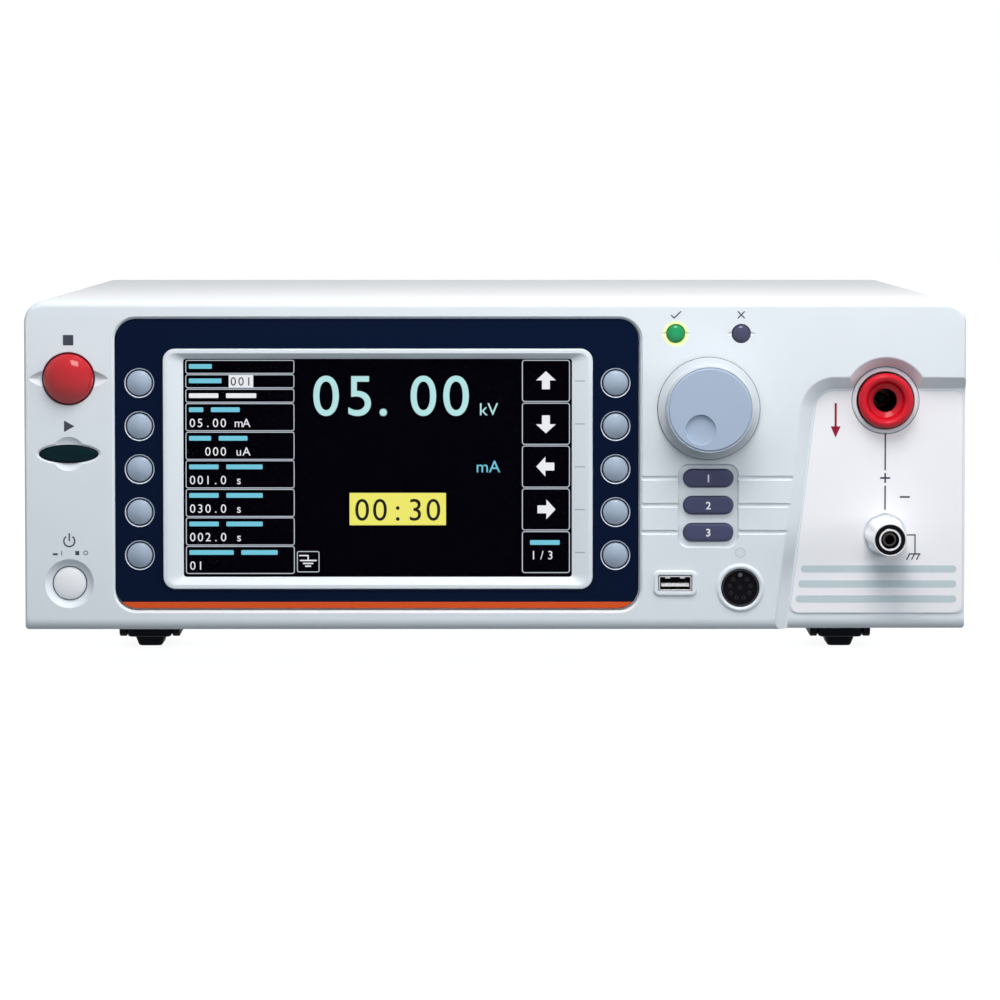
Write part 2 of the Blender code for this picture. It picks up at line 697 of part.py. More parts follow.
def front_frame():
    """The folded steel frame behind the fascia, open behind the boards and the terminals."""
    start = FASCIA_DEPTH + GAP
    low, high = BOTTOM + 2.2, TOP - 3.5
    outer = rounded(-185.6, low, 185.6, high, (1.5, 1.5, 6, 6), 2)
    inner = rounded(-184.4, low + SHEET, 184.4, high - SHEET, (1.0, 1.0, 4.8, 4.8), 2)
    sheet = shaped((add_prism, outer, start, start + 16))
    frame = add_part("front_frame", sheet, (0, FRONT, 0), STEEL, 0.4, 0.9)
    cut(frame, "frame_tray", shaped((add_prism, inner, start + SHEET, start + 17)))
    windows = [
        rounded(-140, 34, -50, 128, 6, 1),
        rounded(-42, 34, 48, 128, 6, 1),
        rounded(62, 26, 124, 128, 6, 1),
        circle(OUTPUT_X, HV_Z, 9.7, 12),
        circle(OUTPUT_X, RETURN_Z, 6.6, 12),
    ]
    cut(frame, "frame_windows", shaped(*[(add_prism, o, start - 1, start + 3) for o in windows]))


def shell_outline(half_width, low, high, radius, thick):
    """An inverted U of sheet with rounded upper corners."""
    outer = arc(half_width - radius, high - radius, radius, 0, 90, 5)
    outer += arc(radius - half_width, high - radius, radius, 90, 180, 5)
    inner_radius = radius - thick
    inner = arc(radius - half_width, high - radius, inner_radius, 180, 90, 5)
    inner += arc(half_width - radius, high - radius, inner_radius, 90, 0, 5)
    ends_left = [(-half_width, low), (thick - half_width, low)]
    ends_right = [(half_width - thick, low), (half_width, low)]
    return outer + ends_left + inner + ends_right


def vent_slots(bm, columns, start, pitch, height, width, length, reach):
    """A row of upright slots with round ends, cut along X at this height."""
    for column in range(columns):
        y = start + pitch * column
        add_prism(bm, centred(y, height, width, length, width / 2 - 0.01, 1), *reach, side)


def top_cover():
    outline = shell_outline(WIDTH / 2 - 0.5, BOTTOM + 1, TOP, 8.5, SHEET)
    start = FRONT + FASCIA_DEPTH + GAP
    cover = shaped((add_prism, outline, start, BACK))
    cover = add_part("top_cover", cover, (0, 0, 0), PANEL_WHITE, 0.5, 0.0)
    bm = bmesh.new()
    vent_slots(bm, 9, -152, 11.0, 78, 4.4, 60, (-WIDTH / 2 - 5, WIDTH / 2 + 5))
    cut(cover, "cover_vents", bm)


def base_tray():
    """The lower half of the case: a floor with vents and two upright sides inside the cover."""
    half = WIDTH / 2 - 2.1
    high = 62.0
    floor = BOTTOM + SHEET
    outline = [
        (-half, high), (-half, BOTTOM), (half, BOTTOM), (half, high),
        (half - SHEET, high), (half - SHEET, floor), (SHEET - half, floor), (SHEET - half, high),
    ]
    start = FRONT + FASCIA_DEPTH + GAP
    tray = shaped((add_prism, outline, start, BACK))
    tray = add_part("base_tray", tray, (0, 0, 0), STEEL, 0.4, 0.9)
    bm = bmesh.new()
    for column in range(6):
        x = -50 + 20 * column
        add_prism(bm, centred(x, -60, 5.0, 60, 2.49, 1), BOTTOM - 2, BOTTOM + 4, plan)
    cut(tray, "tray_vents", bm)
    side_vents = bmesh.new()
    window = centred(-110, 53.5, 98, 24, 3, 1)
    add_prism(side_vents, window, -WIDTH / 2 - 5, WIDTH / 2 + 5, side)
    cut(tray, "tray_side_windows", side_vents)


def rear_panel():
    half = WIDTH / 2 - 3.7
    outline = rounded(-half, BOTTOM + 1.6, half, TOP - 1.6, (1, 1, 7.0, 7.0))
    sheet = shaped((add_prism, outline, REAR_FACE - 1.5, REAR_FACE))
    panel = add_part("rear_panel", sheet, (0, 0, 0), STEEL, 0.45, 0.6)
    openings = [
        circle(*FAN, FAN_BORE - 0.4, 24),
        centred(*INLET, 30.8, 31.8, 1.0, 1),
        centred(*SERIAL, 19.8, 10.8, 1.0, 1),
        centred(*SIGNAL, 41.4, 10.8, 1.0, 1),
        circle(*GROUND, 3.0, 12),
    ]
    for column in range(7):
        x = -30 + 20 * column
        openings.append(centred(x, 110, 4.4, 40, 2.19, 1))
    bm = shaped(*[(add_prism, o, REAR_FACE - 3, REAR_FACE + 2) for o in openings])
    cut(panel, "rear_openings", bm)


def fan_parts():
    """The fan behind the rear panel, its rotor, and the wire guard outside."""
    far = -1.5 - GAP
    near = far - FAN_DEPTH
    square = centred(0, 0, FAN_SIZE, FAN_SIZE, 4)
    bore = centred(0, 0, 2 * FAN_BORE, 2 * FAN_BORE, FAN_BORE)
    ring = [(square, near), (square, far), (bore, far), (bore, near)]
    frame = shaped((add_loft, ring, front, True))
    frame = add_part("fan_frame", frame, on_rear(FAN), BLACK, 0.5)
    spider = shaped((add_prism, circle(0, 0, 17.5, 12), near, near + 2.6))
    join(frame, "fan_hub_plate", spider)
    for name, low, high in (
        ("fan_strut_across", (-39, near, -2), (39, near + 2.6, 2)),
        ("fan_strut_up", (-2, near, -39), (2, near + 2.6, 39)),
    ):
        join(frame, name, shaped((add_box, low, high)))
    hub = [(0, far - 2.5), (16.0, far - 2.5), (17.5, far - 4), (17.5, near + 4.2),
           (0, near + 4.2)]
    rotor = shaped((add_turned, hub, 21))
    rotor = add_part("fan_rotor", rotor, on_rear(FAN), BLACK, 0.45)
    join(rotor, "rotor_blades", fan_blades((near + far) / 2 + 0.9))
    fan_guard()


def fan_blades(middle):
    """Blades that twist from a steep root to a flatter tip."""
    bm = bmesh.new()
    for blade in range(FAN_BLADES):
        sections = []
        for radius, chord, pitch in ((16.8, 17.0, 44), (27.0, 19.0, 34), (36.0, 20.0, 27)):
            along = Vector((math.sin(math.radians(pitch)), math.cos(math.radians(pitch))))
            across = Vector((along.y, -along.x)) * 0.6
            half = along * (chord / 2)
            corners = (half + across, half - across, -half - across, -half + across)
            sections.append(([(c.x + middle, c.y) for c in corners], radius))
        verts = add_loft(bm, sections, side)
        turn = Matrix.Rotation(math.tau * blade / FAN_BLADES, 3, "Y")
        bmesh.ops.rotate(bm, verts=verts, cent=(0, 0, 0), matrix=turn)
    return bm


def fan_guard():
    """Two wire rings welded to two crossed wires, with an eye at each fan screw."""
    wire = 0.9
    ring_height = 2.9
    rings = bmesh.new()
    for radius in (17, 30):
        add_turned(rings, circle(radius, ring_height, wire, 4), 16, True)
    guard = add_part("fan_guard", rings, on_rear(FAN), STEEL, 0.25, 1.0)
    reach = 35.75 * math.sqrt(2) - 3.0
    for name, angle in (("guard_wire_rising", 45), ("guard_wire_falling", 135)):
        arm = shaped((add_box, (-reach, 0.35, -wire), (reach, 2.2, wire)))
        turn = Matrix.Rotation(math.radians(angle), 3, "Y")
        bmesh.ops.rotate(arm, verts=arm.verts, cent=(0, 0, 0), matrix=turn)
        join(guard, name, arm)
    eyes = bmesh.new()
    for x in (-35.75, 35.75):
        for z in (-35.75, 35.75):
            eye_ring = [(2.2, 0.35), (4.0, 0.35), (4.0, 2.0), (2.2, 2.0)]
            add_turned(eyes, eye_ring, 6, True, (x, z))
    join(guard, "guard_eyes", eyes)


def mains_inlet():
    """A three-pin inlet with a fuse drawer under it, in one flanged body."""
    flange = centred(0, 0, 50, 34, 4, 3)
    rim = centred(0, 0, 49, 33, 3.6, 3)
    body = centred(0, 0, 30, 31, 1.5, 3)
    steps = [(body, -20), (body, GAP), (flange, GAP), (flange, 3.0), (rim, 3.5)]
    inlet = add_part("mains_inlet", shaped((add_loft, steps)), on_rear(INLET), BLACK, 0.5)
    mouth = [(-12, -2.7), (12, -2.7), (12, 10.2), (8.6, 13.7), (-8.6, 13.7), (-12, 10.2)]
    bay = centred(0, FUSE_DROP, 22.2, 7.6, 0.6, 2)
    cut(inlet, "inlet_mouths", shaped((add_prism, mouth, -13.5, 5), (add_prism, bay, -13.5, 5)))
    pins = bmesh.new()
    for x, z in ((-7, 5.0), (7, 5.0), (0, 9.0)):
        add_box(pins, (x - 1, -14, z - 2), (x + 1, -1.0, z + 2))
    join(inlet, "inlet_pins", pins)
    drawer = centred(0, 0, 21.6, 7.0, 0.5, 2)
    lip = centred(0, 0, 23.4, 8.8, 0.8, 2)
    grip = centred(0, 0, 21.4, 6.8, 0.6, 2)
    steps = [(drawer, -12.8), (drawer, 3.8), (lip, 3.8), (lip, 4.8), (grip, 5.4)]
    x, z = INLET
    add_part("fuse_drawer", shaped((add_loft, steps)), on_rear((x, z + FUSE_DROP)), BLACK, 0.45)


def d_outline(width, height, lean=1.1, radius=1.8):
    """The D shape of a data connector: a trapezium with rounded corners, wide at the top."""
    half_width = width / 2
    half_height = height / 2
    corners = [
        (lean - half_width, -half_height),
        (half_width - lean, -half_height),
        (half_width, half_height),
        (-half_width, half_height),
    ]
    points = []
    for i, corner in enumerate(corners):
        points += fillet(corners[i - 1], corner, corners[(i + 1) % 4], radius, 2)
    return points


def data_port(name, place, flange_width, shell_width):
    """A socket connector: a body behind the panel, a flange, and the D-shaped shell."""
    body = centred(0, 0, shell_width + 2.2, 10.0, 0.8, 2)
    flange = centred(0, 0, flange_width, 12.5, 1.6, 2)
    shell = d_outline(shell_width, 8.4)
    mouth = d_outline(shell_width - 1.2, 7.2, 1.0, 1.5)
    steps = [(body, -12), (body, GAP), (flange, GAP), (flange, 1.4), (shell, 1.4), (shell, 6.0),
             (mouth, 6.0), (mouth, 5.4)]
    add_part(name, shaped((add_loft, steps)), on_rear(place), STEEL, 0.3, 1.0)


def ground_post():
    """A stud with a nut inside the panel and a hand nut outside."""
    profile = [(0, -5.5), (4.5, -5.5), (4.5, -1.9), (2.6, -1.9), (2.6, 0.4), (6.0, 0.4),
               (6.0, 2.4), (3.0, 2.4), (3.0, 3.6), (6.5, 4.1), (6.5, 13.0), (5.6, 13.6),
               (2.6, 13.6), (2.6, 17.1), (2.2, 17.5), (0, 17.5)]
    add_part("ground_post", shaped((add_turned, profile, 8)), on_rear(GROUND), STEEL, 0.3, 1.0)


def foot_sections(half_width):
    """A block under the case that narrows to the pad it stands on."""
    far = FOOT_LENGTH
    return [
        (rounded(-5.0, 8, 5.0, far - 6, 1.5, 2), 0),
        (rounded(-6.6, 6, 6.6, far - 4, 2.0, 2), PAD_HEIGHT),
        (rounded(-half_width, 0, half_width, far, 2.5, 2), PAD_HEIGHT),
        (rounded(-half_width, 0, half_width, far, 2.5, 2), BOTTOM - GAP),
    ]


def feet():
    """Four feet. Each front one carries a tilt leg, folded back under the case."""
    for which, x in (("left", -FOOT_X), ("right", FOOT_X)):
        rear = shaped((add_loft, foot_sections(12.7), plan))
        add_part("foot_rear_" + which, rear, (x, FOOT_REAR_Y, 0), RUBBER, 0.7)
        name = "foot_front_" + which
        foot = shaped((add_loft, foot_sections(9.2), plan))
        foot = add_part(name, foot, (x, FOOT_FRONT_Y, 0), RUBBER, 0.7)
        pivot_y, pivot_z = LEG_PIVOT
        bore = circle(pivot_y - FOOT_FRONT_Y, pivot_z, 2.4, 8)
        cut(foot, name + "_bore", shaped((add_prism, bore, -15, 15, side)))
        tilt_leg("tilt_leg_" + which, (x, pivot_y, pivot_z))


def tilt_leg(name, at):
    """Two arms on a pivot pin, joined at their far end by the bar that stands on the bench."""
    bar = shaped((add_prism, centred(34.5, 0.2, 4.0, 7.0, 1.2, 2), -12.7, 12.7, side))
    leg = add_part(name, bar, at, RUBBER, 0.6)
    arm = arc(0, 0, 3.7, 90, 270, 4) + [(35.5, -3.1), (35.5, 3.1)]
    arms = shaped((add_prism, arm, -12.7, -9.55, side), (add_prism, arm, 9.55, 12.7, side))
    join(leg, name + "_arms", arms)
    join(leg, name + "_pin", shaped((add_prism, circle(0, 0, 2.0, 8), -10, 10, side)))


def main_board():
    """The control and power board on its posts, with its larger components."""
    floor = BOTTOM + SHEET + GAP
    level = 28.0
    outline = rounded(-176, -158, 62, 45, 3)
    board = shaped((add_prism, outline, level, level + BOARD_THICK, plan))
    board = add_part("main_board", board, (0, 0, 0), BOARD_GREEN, 0.45)
    posts = bmesh.new()
    for x in (-168, 54):
        for y in (-150, 37):
            add_prism(posts, circle(x, y, 3.2, 6), floor, level + 0.4, plan)
    join(board, "board_posts", posts)
    top = level + BOARD_THICK - 0.3
    parts = bmesh.new()
    for x, y, width, length, height in (
        (-140, -120, 34, 34, 14), (-60, -60, 46, 40, 22), (10, -110, 30, 30, 4),
        (30, 10, 40, 26, 18), (-120, 10, 60, 12, 20), (-100, -60, 18, 18, 12),
    ):
        add_prism(parts, centred(x, y, width, length, 1.0, 1), top, top + height, plan)
    for x, y, radius, height in ((-160, -40, 9, 30), (-160, -16, 9, 30)):
        add_prism(parts, circle(x, y, radius, 8), top, top + height, plan)
    join(board, "board_components", parts)


def power_transformer():
    """A laminated core with its winding, clamped on a plate that stands on the tray."""
    floor = BOTTOM + SHEET + GAP
    core = shaped((add_prism, centred(0, floor + 36, 84, 70, 1.5, 1), -17, 17))
    core = add_part("power_transformer", core, (112, 118, 0), (0.12, 0.11, 0.10), 0.6, 0.4)
    winding = shaped((add_prism, centred(0, floor + 36, 52, 42, 6, 3), -32, 32))
    join(core, "transformer_winding", winding)
    plate = shaped((add_box, (-50, -26, floor), (50, 26, floor + 2.0)))
    join(core, "transformer_plate", plate)


def hv_module():
    """The potted high-voltage multiplier with its ribbed output bushing on top."""
    floor = BOTTOM + SHEET + GAP
    body = [
        (centred(0, 0, 92, 88, 3, 2), floor),
        (centred(0, 0, 92, 88, 3, 2), floor + 2.5),
        (centred(0, 0, 76, 84, 4, 2), floor + 2.5),
        (centred(0, 0, 73, 81, 5, 2), floor + 62),
    ]
    place = (118, -75, 0)
    module = add_part("hv_module", shaped((add_loft, body, plan)), place, BLACK, 0.6)
    bushing = []
    for rib in range(2):
        low = floor + 61 + 9 * rib
        bushing += [(circle(0, 0, 9, 10), low), (circle(0, 0, 9, 10), low + 4)]
        bushing += [(circle(0, 0, 12, 10), low + 5), (circle(0, 0, 12, 10), low + 8)]
    join(module, "hv_bushing", shaped((add_loft, bushing, plan)))


def amplifier_heatsink():
    """An extruded comb of fins in line with the fan."""
    floor = BOTTOM + SHEET + GAP
    base, tall, fins, thick, pitch = 7.0, 70.0, 11, 2.2, 8.6
    width = pitch * (fins - 1) + thick
    outline = [(width, floor), (0, floor)]
    for fin in range(fins):
        x = pitch * fin
        outline += [(x, floor + tall), (x + thick, floor + tall)]
        if fin < fins - 1:
            outline += [(x + thick, floor + base), (x + pitch, floor + base)]
    sink = shaped((add_prism, outline, -50, 50))
    at = (FAN[0] - width / 2, 118, 0)
    add_part("amplifier_heatsink", sink, at, (0.55, 0.56, 0.58), 0.45, 0.9)


def main():
    for obj in list(bpy.data.objects):
        bpy.data.objects.remove(obj)
    front_fascia()
    display_bezel()
    screen_parts()
    key_places = [place for _, place in softkey_places()] + function_places()
    switch_board("key_board", rounded(-152, 23, 116.5, 142, 3), key_places)
    switch_board("button_board", rounded(-186, 72, -157, 132, 2), [STOP, START])
    softkeys()
    function_keys()
    side_buttons()
    lamps()
    knob_and_encoder()
    signal_sockets()
    output_terminals()
    output_plate()
    front_frame()
    top_cover()
    base_tray()
    rear_panel()
    fan_parts()
    mains_inlet()
    data_port("serial_port", SERIAL, 30.8, 17.0)
    data_port("signal_port", SIGNAL, 53.0, 38.9)
    ground_post()
    feet()
    main_board()
    power_transformer()
    hv_module()
    amplifier_heatsink()


main()
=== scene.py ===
"""Bench hipot tester: the visible pieces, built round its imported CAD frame.

Sizes inside the functions are millimetres in the frame's axes: X to the right, Y to the back
and Z up. A piece of the front panel is drawn by its depth: 0 is the front face, more lies
behind it and less stands proud. A piece of the rear panel is drawn outward from that panel.
"""

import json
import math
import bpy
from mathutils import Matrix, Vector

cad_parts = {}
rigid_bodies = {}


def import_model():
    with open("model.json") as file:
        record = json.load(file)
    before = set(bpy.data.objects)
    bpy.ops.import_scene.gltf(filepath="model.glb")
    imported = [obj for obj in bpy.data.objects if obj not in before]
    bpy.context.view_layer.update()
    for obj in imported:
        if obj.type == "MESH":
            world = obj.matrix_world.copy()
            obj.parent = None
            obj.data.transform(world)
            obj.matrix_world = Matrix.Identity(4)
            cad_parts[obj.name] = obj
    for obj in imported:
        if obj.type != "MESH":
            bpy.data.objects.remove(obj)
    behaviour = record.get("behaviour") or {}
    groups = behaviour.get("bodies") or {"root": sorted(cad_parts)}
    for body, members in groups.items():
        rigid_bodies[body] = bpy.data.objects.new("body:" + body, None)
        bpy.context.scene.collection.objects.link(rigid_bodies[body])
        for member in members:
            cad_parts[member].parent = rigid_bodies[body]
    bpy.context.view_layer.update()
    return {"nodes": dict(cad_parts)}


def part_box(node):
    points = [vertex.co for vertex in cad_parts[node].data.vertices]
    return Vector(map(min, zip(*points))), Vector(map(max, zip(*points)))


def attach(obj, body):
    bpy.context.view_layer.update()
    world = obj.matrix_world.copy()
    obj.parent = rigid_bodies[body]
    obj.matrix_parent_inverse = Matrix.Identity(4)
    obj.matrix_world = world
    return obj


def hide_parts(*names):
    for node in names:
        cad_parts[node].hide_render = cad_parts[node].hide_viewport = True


bl_info = {
    "name": "Bench hipot tester",
    "version": (1, 0, 0),
    "blender": (4, 5, 0),
    "location": "View3D > Sidebar > Tester",
    "description": "Builds a bench hipot tester's visible pieces round its CAD frame",
    "category": "Object",
}

import bmesh
import bpy
import numpy as np
from bpy.props import FloatProperty, FloatVectorProperty, IntProperty, PointerProperty
from mathutils import Matrix, Vector

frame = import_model()

MM = 0.001


def edges_of(node):
    """A CAD node's lowest and highest corner in millimetres."""
    low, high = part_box(node)
    return np.array(low) / MM, np.array(high) / MM


def middle_of(node):
    """(x, z) of the middle of a CAD node's box."""
    low, high = edges_of(node)
    return (low[0] + high[0]) / 2, (low[2] + high[2]) / 2


FASCIA_DEPTH = 28.0
CASE_LOW, CASE_HIGH = edges_of("front_fascia")
HALF_WIDTH = (CASE_HIGH[0] - CASE_LOW[0]) / 2
BOTTOM = CASE_LOW[2]
TOP = CASE_HIGH[2]
FRONT = CASE_HIGH[1] - FASCIA_DEPTH
REAR = edges_of("rear_panel")[1][1]
BACK = edges_of("top_cover")[1][1]

BEZEL = (-153.2, BOTTOM + 8.6, 57.9, BOTTOM + 125.5)
POCKET = (-154.5, BOTTOM + 6.7, 59.5, BOTTOM + 126.6)
SCREEN_FRAME = (-134.0, BOTTOM + 16.4, 39.3, BOTTOM + 113.5)
PICTURE = (-125.9, BOTTOM + 21.2, 31.0, BOTTOM + 109.4)
WINDOW = (-132.0, BOTTOM + 18.4, 37.3, BOTTOM + 111.5)
BEZEL_DEPTH = 1.2
POCKET_DEPTH = 3.3
WALL_DEPTH = 6.1
PICTURE_DEPTH = 4.8
PIXEL_PITCH = 0.49
SOFTKEY_PITCH = 17.33
FAN_BOLT = 35.75

STOP = middle_of("stop_button")
START = middle_of("start_button")
POWER = middle_of("power_button")
PASS_LAMP = middle_of("pass_lamp")
FAIL_LAMP = middle_of("fail_lamp")
KNOB = middle_of("knob")
USB = middle_of("usb_port")
REMOTE = middle_of("remote_socket")
HV = middle_of("hv_socket")
RETURN = middle_of("return_insulator")
FAN = middle_of("fan_frame")
INLET = middle_of("mains_inlet")
DRAWER = middle_of("fuse_drawer")
SERIAL = middle_of("serial_port")
SIGNAL = middle_of("signal_port")
GROUND = middle_of("ground_post")
SOFTKEYS = [f"{side}_{row}" for side in ("left", "right") for row in range(1, 6)]
FUNCTIONS = [middle_of(f"function_key_{row}") for row in (1, 2, 3)]

RECESS_MOUTH = {"foot_x": 112.8, "lean": 0.1155, "top": 116.9, "corner": 14.0, "arch": 17.5}
RECESS_FLOOR = {"foot_x": 117.6, "lean": 0.1216, "top": 112.3, "corner": 9.0, "arch": 13.6}
KEY_PLATE = (FUNCTIONS[1][0], FUNCTIONS[1][1] - 0.25, 24.0, 33.4)


def size(name, description, default):
    """A length in metres that a user may change."""
    return FloatProperty(name=name, description=description, default=default, unit="LENGTH")


def colour(name, description, default):
    """A linear colour that a user may change."""
    return FloatVectorProperty(
        name=name, description=description, default=default, subtype="COLOR", min=0, max=1
    )


def power(name, description, default):
    """A lamp's power in watts."""
    return FloatProperty(name=name, description=description, default=default, unit="POWER")


class CaseSettings(bpy.types.PropertyGroup):
    """Sizes and colours of the moulded front and the steel case."""

    plastic: colour("Moulding", "Colour of the moulded front", (0.75, 0.81, 0.862))
    plate: colour("Output plate", "Colour of the plate under the sockets", (0.89, 0.90, 0.94))
    paint: colour("Paint", "Colour of the painted steel cover", (0.83, 0.835, 0.845))
    edge: size("Front edge", "Depth of the front's rounded edge", 0.003)
    recess: size("Output recess", "Depth of the recess round the output sockets", 0.0054)
    slot: size("Slot width", "Width of a vent slot in the cover", 0.0044)
    rubber: colour("Rubber", "Colour of the feet", (0.003, 0.004, 0.007))
    steel: colour("Steel", "Colour of the plated sheet steel", (0.62, 0.63, 0.65))


class DisplaySettings(bpy.types.PropertyGroup):
    """Colours and sizes of the screen and the panel round it."""

    panel: colour("Panel", "Colour of the dark panel round the screen", (0.0018, 0.0068, 0.027))
    band: colour("Band", "Colour of the band under the screen", (0.72, 0.095, 0.022))
    band_height: size("Band height", "Height of the band under the screen", 0.0026)
    caption: colour("Captions", "Colour of the bars and unit signs", (0.19, 0.62, 0.78))
    figure: colour("Figures", "Colour of the small figures", (0.86, 0.88, 0.92))
    reading: colour("Reading", "Colour of the large figures", (0.48, 0.80, 0.80))
    banner: colour("Banner", "Colour of the lit banner", (0.90, 0.86, 0.16))
    dark: colour("Dark", "Colour of the unlit screen", (0.0006, 0.0002, 0.002))


class ControlSettings(bpy.types.PropertyGroup):
    """Colours and sizes of the keys, buttons, lamps and knob."""

    key: colour("Softkeys", "Colour of the round keys", (0.34, 0.42, 0.53))
    knob: colour("Knob", "Colour of the knob", (0.40, 0.49, 0.63))
    # The knob's side is the same plastic as its face; its lighter colour is painted light on its lit side.
    skirt: colour("Skirt", "Colour of the knob's side", (0.58, 0.63, 0.68))
    slate: colour("Function keys", "Colour of the long keys", (0.058, 0.064, 0.135))
    stop: colour("Stop", "Colour of the stop button", (0.50, 0.004, 0.012))
    start: colour("Start", "Colour of the start button", (0.0002, 0.014, 0.020))
    lit: colour("Lit lamp", "Colour of the lamp that is on", (0.0, 0.20, 0.065))
    unlit: colour("Unlit lamp", "Colour of the lamp that is off", (0.045, 0.048, 0.105))
    glow: colour("Glow", "Colour of the light round the lit lamp", (0.85, 0.95, 0.22))
    dimple: size("Dimple", "Radius of the knob's finger dimple", 0.0061)
    print_ink: colour("Ink", "Colour of the printed signs", (0.055, 0.060, 0.085))


class SocketSettings(bpy.types.PropertyGroup):
    """Colours of the sockets and of the marks round them."""

    red: colour("High voltage", "Colour of the high-voltage socket", (0.60, 0.008, 0.022))
    metal: colour("Contacts", "Colour of the plated contacts", (0.66, 0.66, 0.68))
    black: colour("Insulator", "Colour of the black insulators", (0.006, 0.006, 0.008))
    stripe: colour("Stripes", "Colour of the printed stripes", (0.56, 0.66, 0.71))
    arrow: colour("Arrow", "Colour of the arrow beside the socket", (0.30, 0.010, 0.040))


class RearSettings(bpy.types.PropertyGroup):
    """Sizes and colours of the rear panel's pieces."""

    blades: IntProperty(name="Blades", description="Number of fan blades", default=7, min=3)
    wire: size("Wire", "Radius of the fan guard's wire", 0.0009)
    black: colour("Plastic", "Colour of the fan and the inlet", (0.010, 0.010, 0.012))
    brass: colour("Brass", "Colour of the ground post", (0.55, 0.42, 0.20))


class StageSettings(bpy.types.PropertyGroup):
    """The camera, the lamps and the floor."""

    lens: FloatProperty(name="Lens", description="Focal length", default=194.5, unit="CAMERA")
    distance: size("Distance", "From the front face to the camera", 2.176)
    height: size("Height", "Camera's height over the bench", 0.200)
    key: power("Key", "Power of the lamp above", 2.9)
    near: power("Near", "Power of the strip over the front", 0.7)
    front: power("Front", "Power of the lamp ahead", 1.8)
    right: power("Right", "Power of the lamp at the right", 2.5)
    left: power("Left", "Power of the lamp at the left", 0.6)
    rear: power("Rear", "Power of the lamp behind", 6.0)
    lamp: colour("Lamps", "Colour of the lamps", (1.0, 0.96, 0.93))
    fill: colour("Fill", "Light from all round", (0.29, 0.335, 0.37))
    floor: colour("Floor", "Colour of the bench", (0.13, 0.145, 0.16))


class Value:
    """A number that varies over a surface. Arithmetic on it adds Math nodes."""

    def __init__(self, nodes, socket):
        self.nodes = nodes
        self.socket = socket

    def maths(self, operation, first, second):
        """A sum of two values."""
        return self.nodes.add("ShaderNodeMath", {0: first, 1: second}, operation=operation)

    def alone(self, operation):
        """A sum that takes this value and no other."""
        return self.nodes.add("ShaderNodeMath", {0: self}, operation=operation)

    def __add__(self, other):
        return self.maths("ADD", self, other)

    def __sub__(self, other):
        return self.maths("SUBTRACT", self, other)

    def __rsub__(self, other):
        return self.maths("SUBTRACT", other, self)

    def __mul__(self, other):
        return self.maths("MULTIPLY", self, other)

    def __truediv__(self, other):
        return self.maths("DIVIDE", self, other)

    def __pow__(self, other):
        return self.maths("POWER", self, other)

    def __abs__(self):
        return self.alone("ABSOLUTE")

    def __lt__(self, other):
        return self.maths("LESS_THAN", self, other)

    def __gt__(self, other):
        return self.maths("GREATER_THAN", self, other)

    __radd__ = __add__
    __rmul__ = __mul__

    def fraction(self):
        return self.alone("FRACT")

    def smallest(self, other):
        return self.maths("MINIMUM", self, other)

    def exponential(self):
        return self.alone("EXPONENT")


class Nodes:
    """The nodes of a material or of the world, and the one way to add another."""

    def __init__(self, tree):
        self.tree = tree

    def feed(self, socket, value):
        """Gives a socket a number or a colour, or links another node's value to it."""
        if isinstance(value, Value):
            self.tree.links.new(value.socket, socket)
        else:
            socket.default_value = value

    def add(self, kind, inputs, output=0, stops=None, **settings):
        """Adds a node: its settings first, then the values or links of its sockets."""
        node = self.tree.nodes.new(kind)
        for name, value in settings.items():
            setattr(node, name, value)
        if stops:
            ramp = node.color_ramp.elements
            while len(ramp) < len(stops):
                ramp.new(1.0)
            for element, (position, value) in zip(ramp, stops):
                element.position = position
                element.color = value
        for name, value in inputs.items():
            self.feed(node.inputs[name], value)
        return Value(self, node.outputs[output])

    def mixed(self, factor, first, second):
        """A colour this share of the way from the first to the second."""
        inputs = {0: factor, 6: first, 7: second}
        return self.add("ShaderNodeMix", inputs, output=2, data_type="RGBA")

    def in_view(self):
        """One for a ray from the camera, straight, mirrored or through glass, and else nothing."""
        direct, mirrored, through = [
            self.add("ShaderNodeLightPath", {}, output=f"Is {ray} Ray")
            for ray in ("Camera", "Glossy", "Transmission")
        ]
        return (direct + mirrored + through).smallest(1.0)


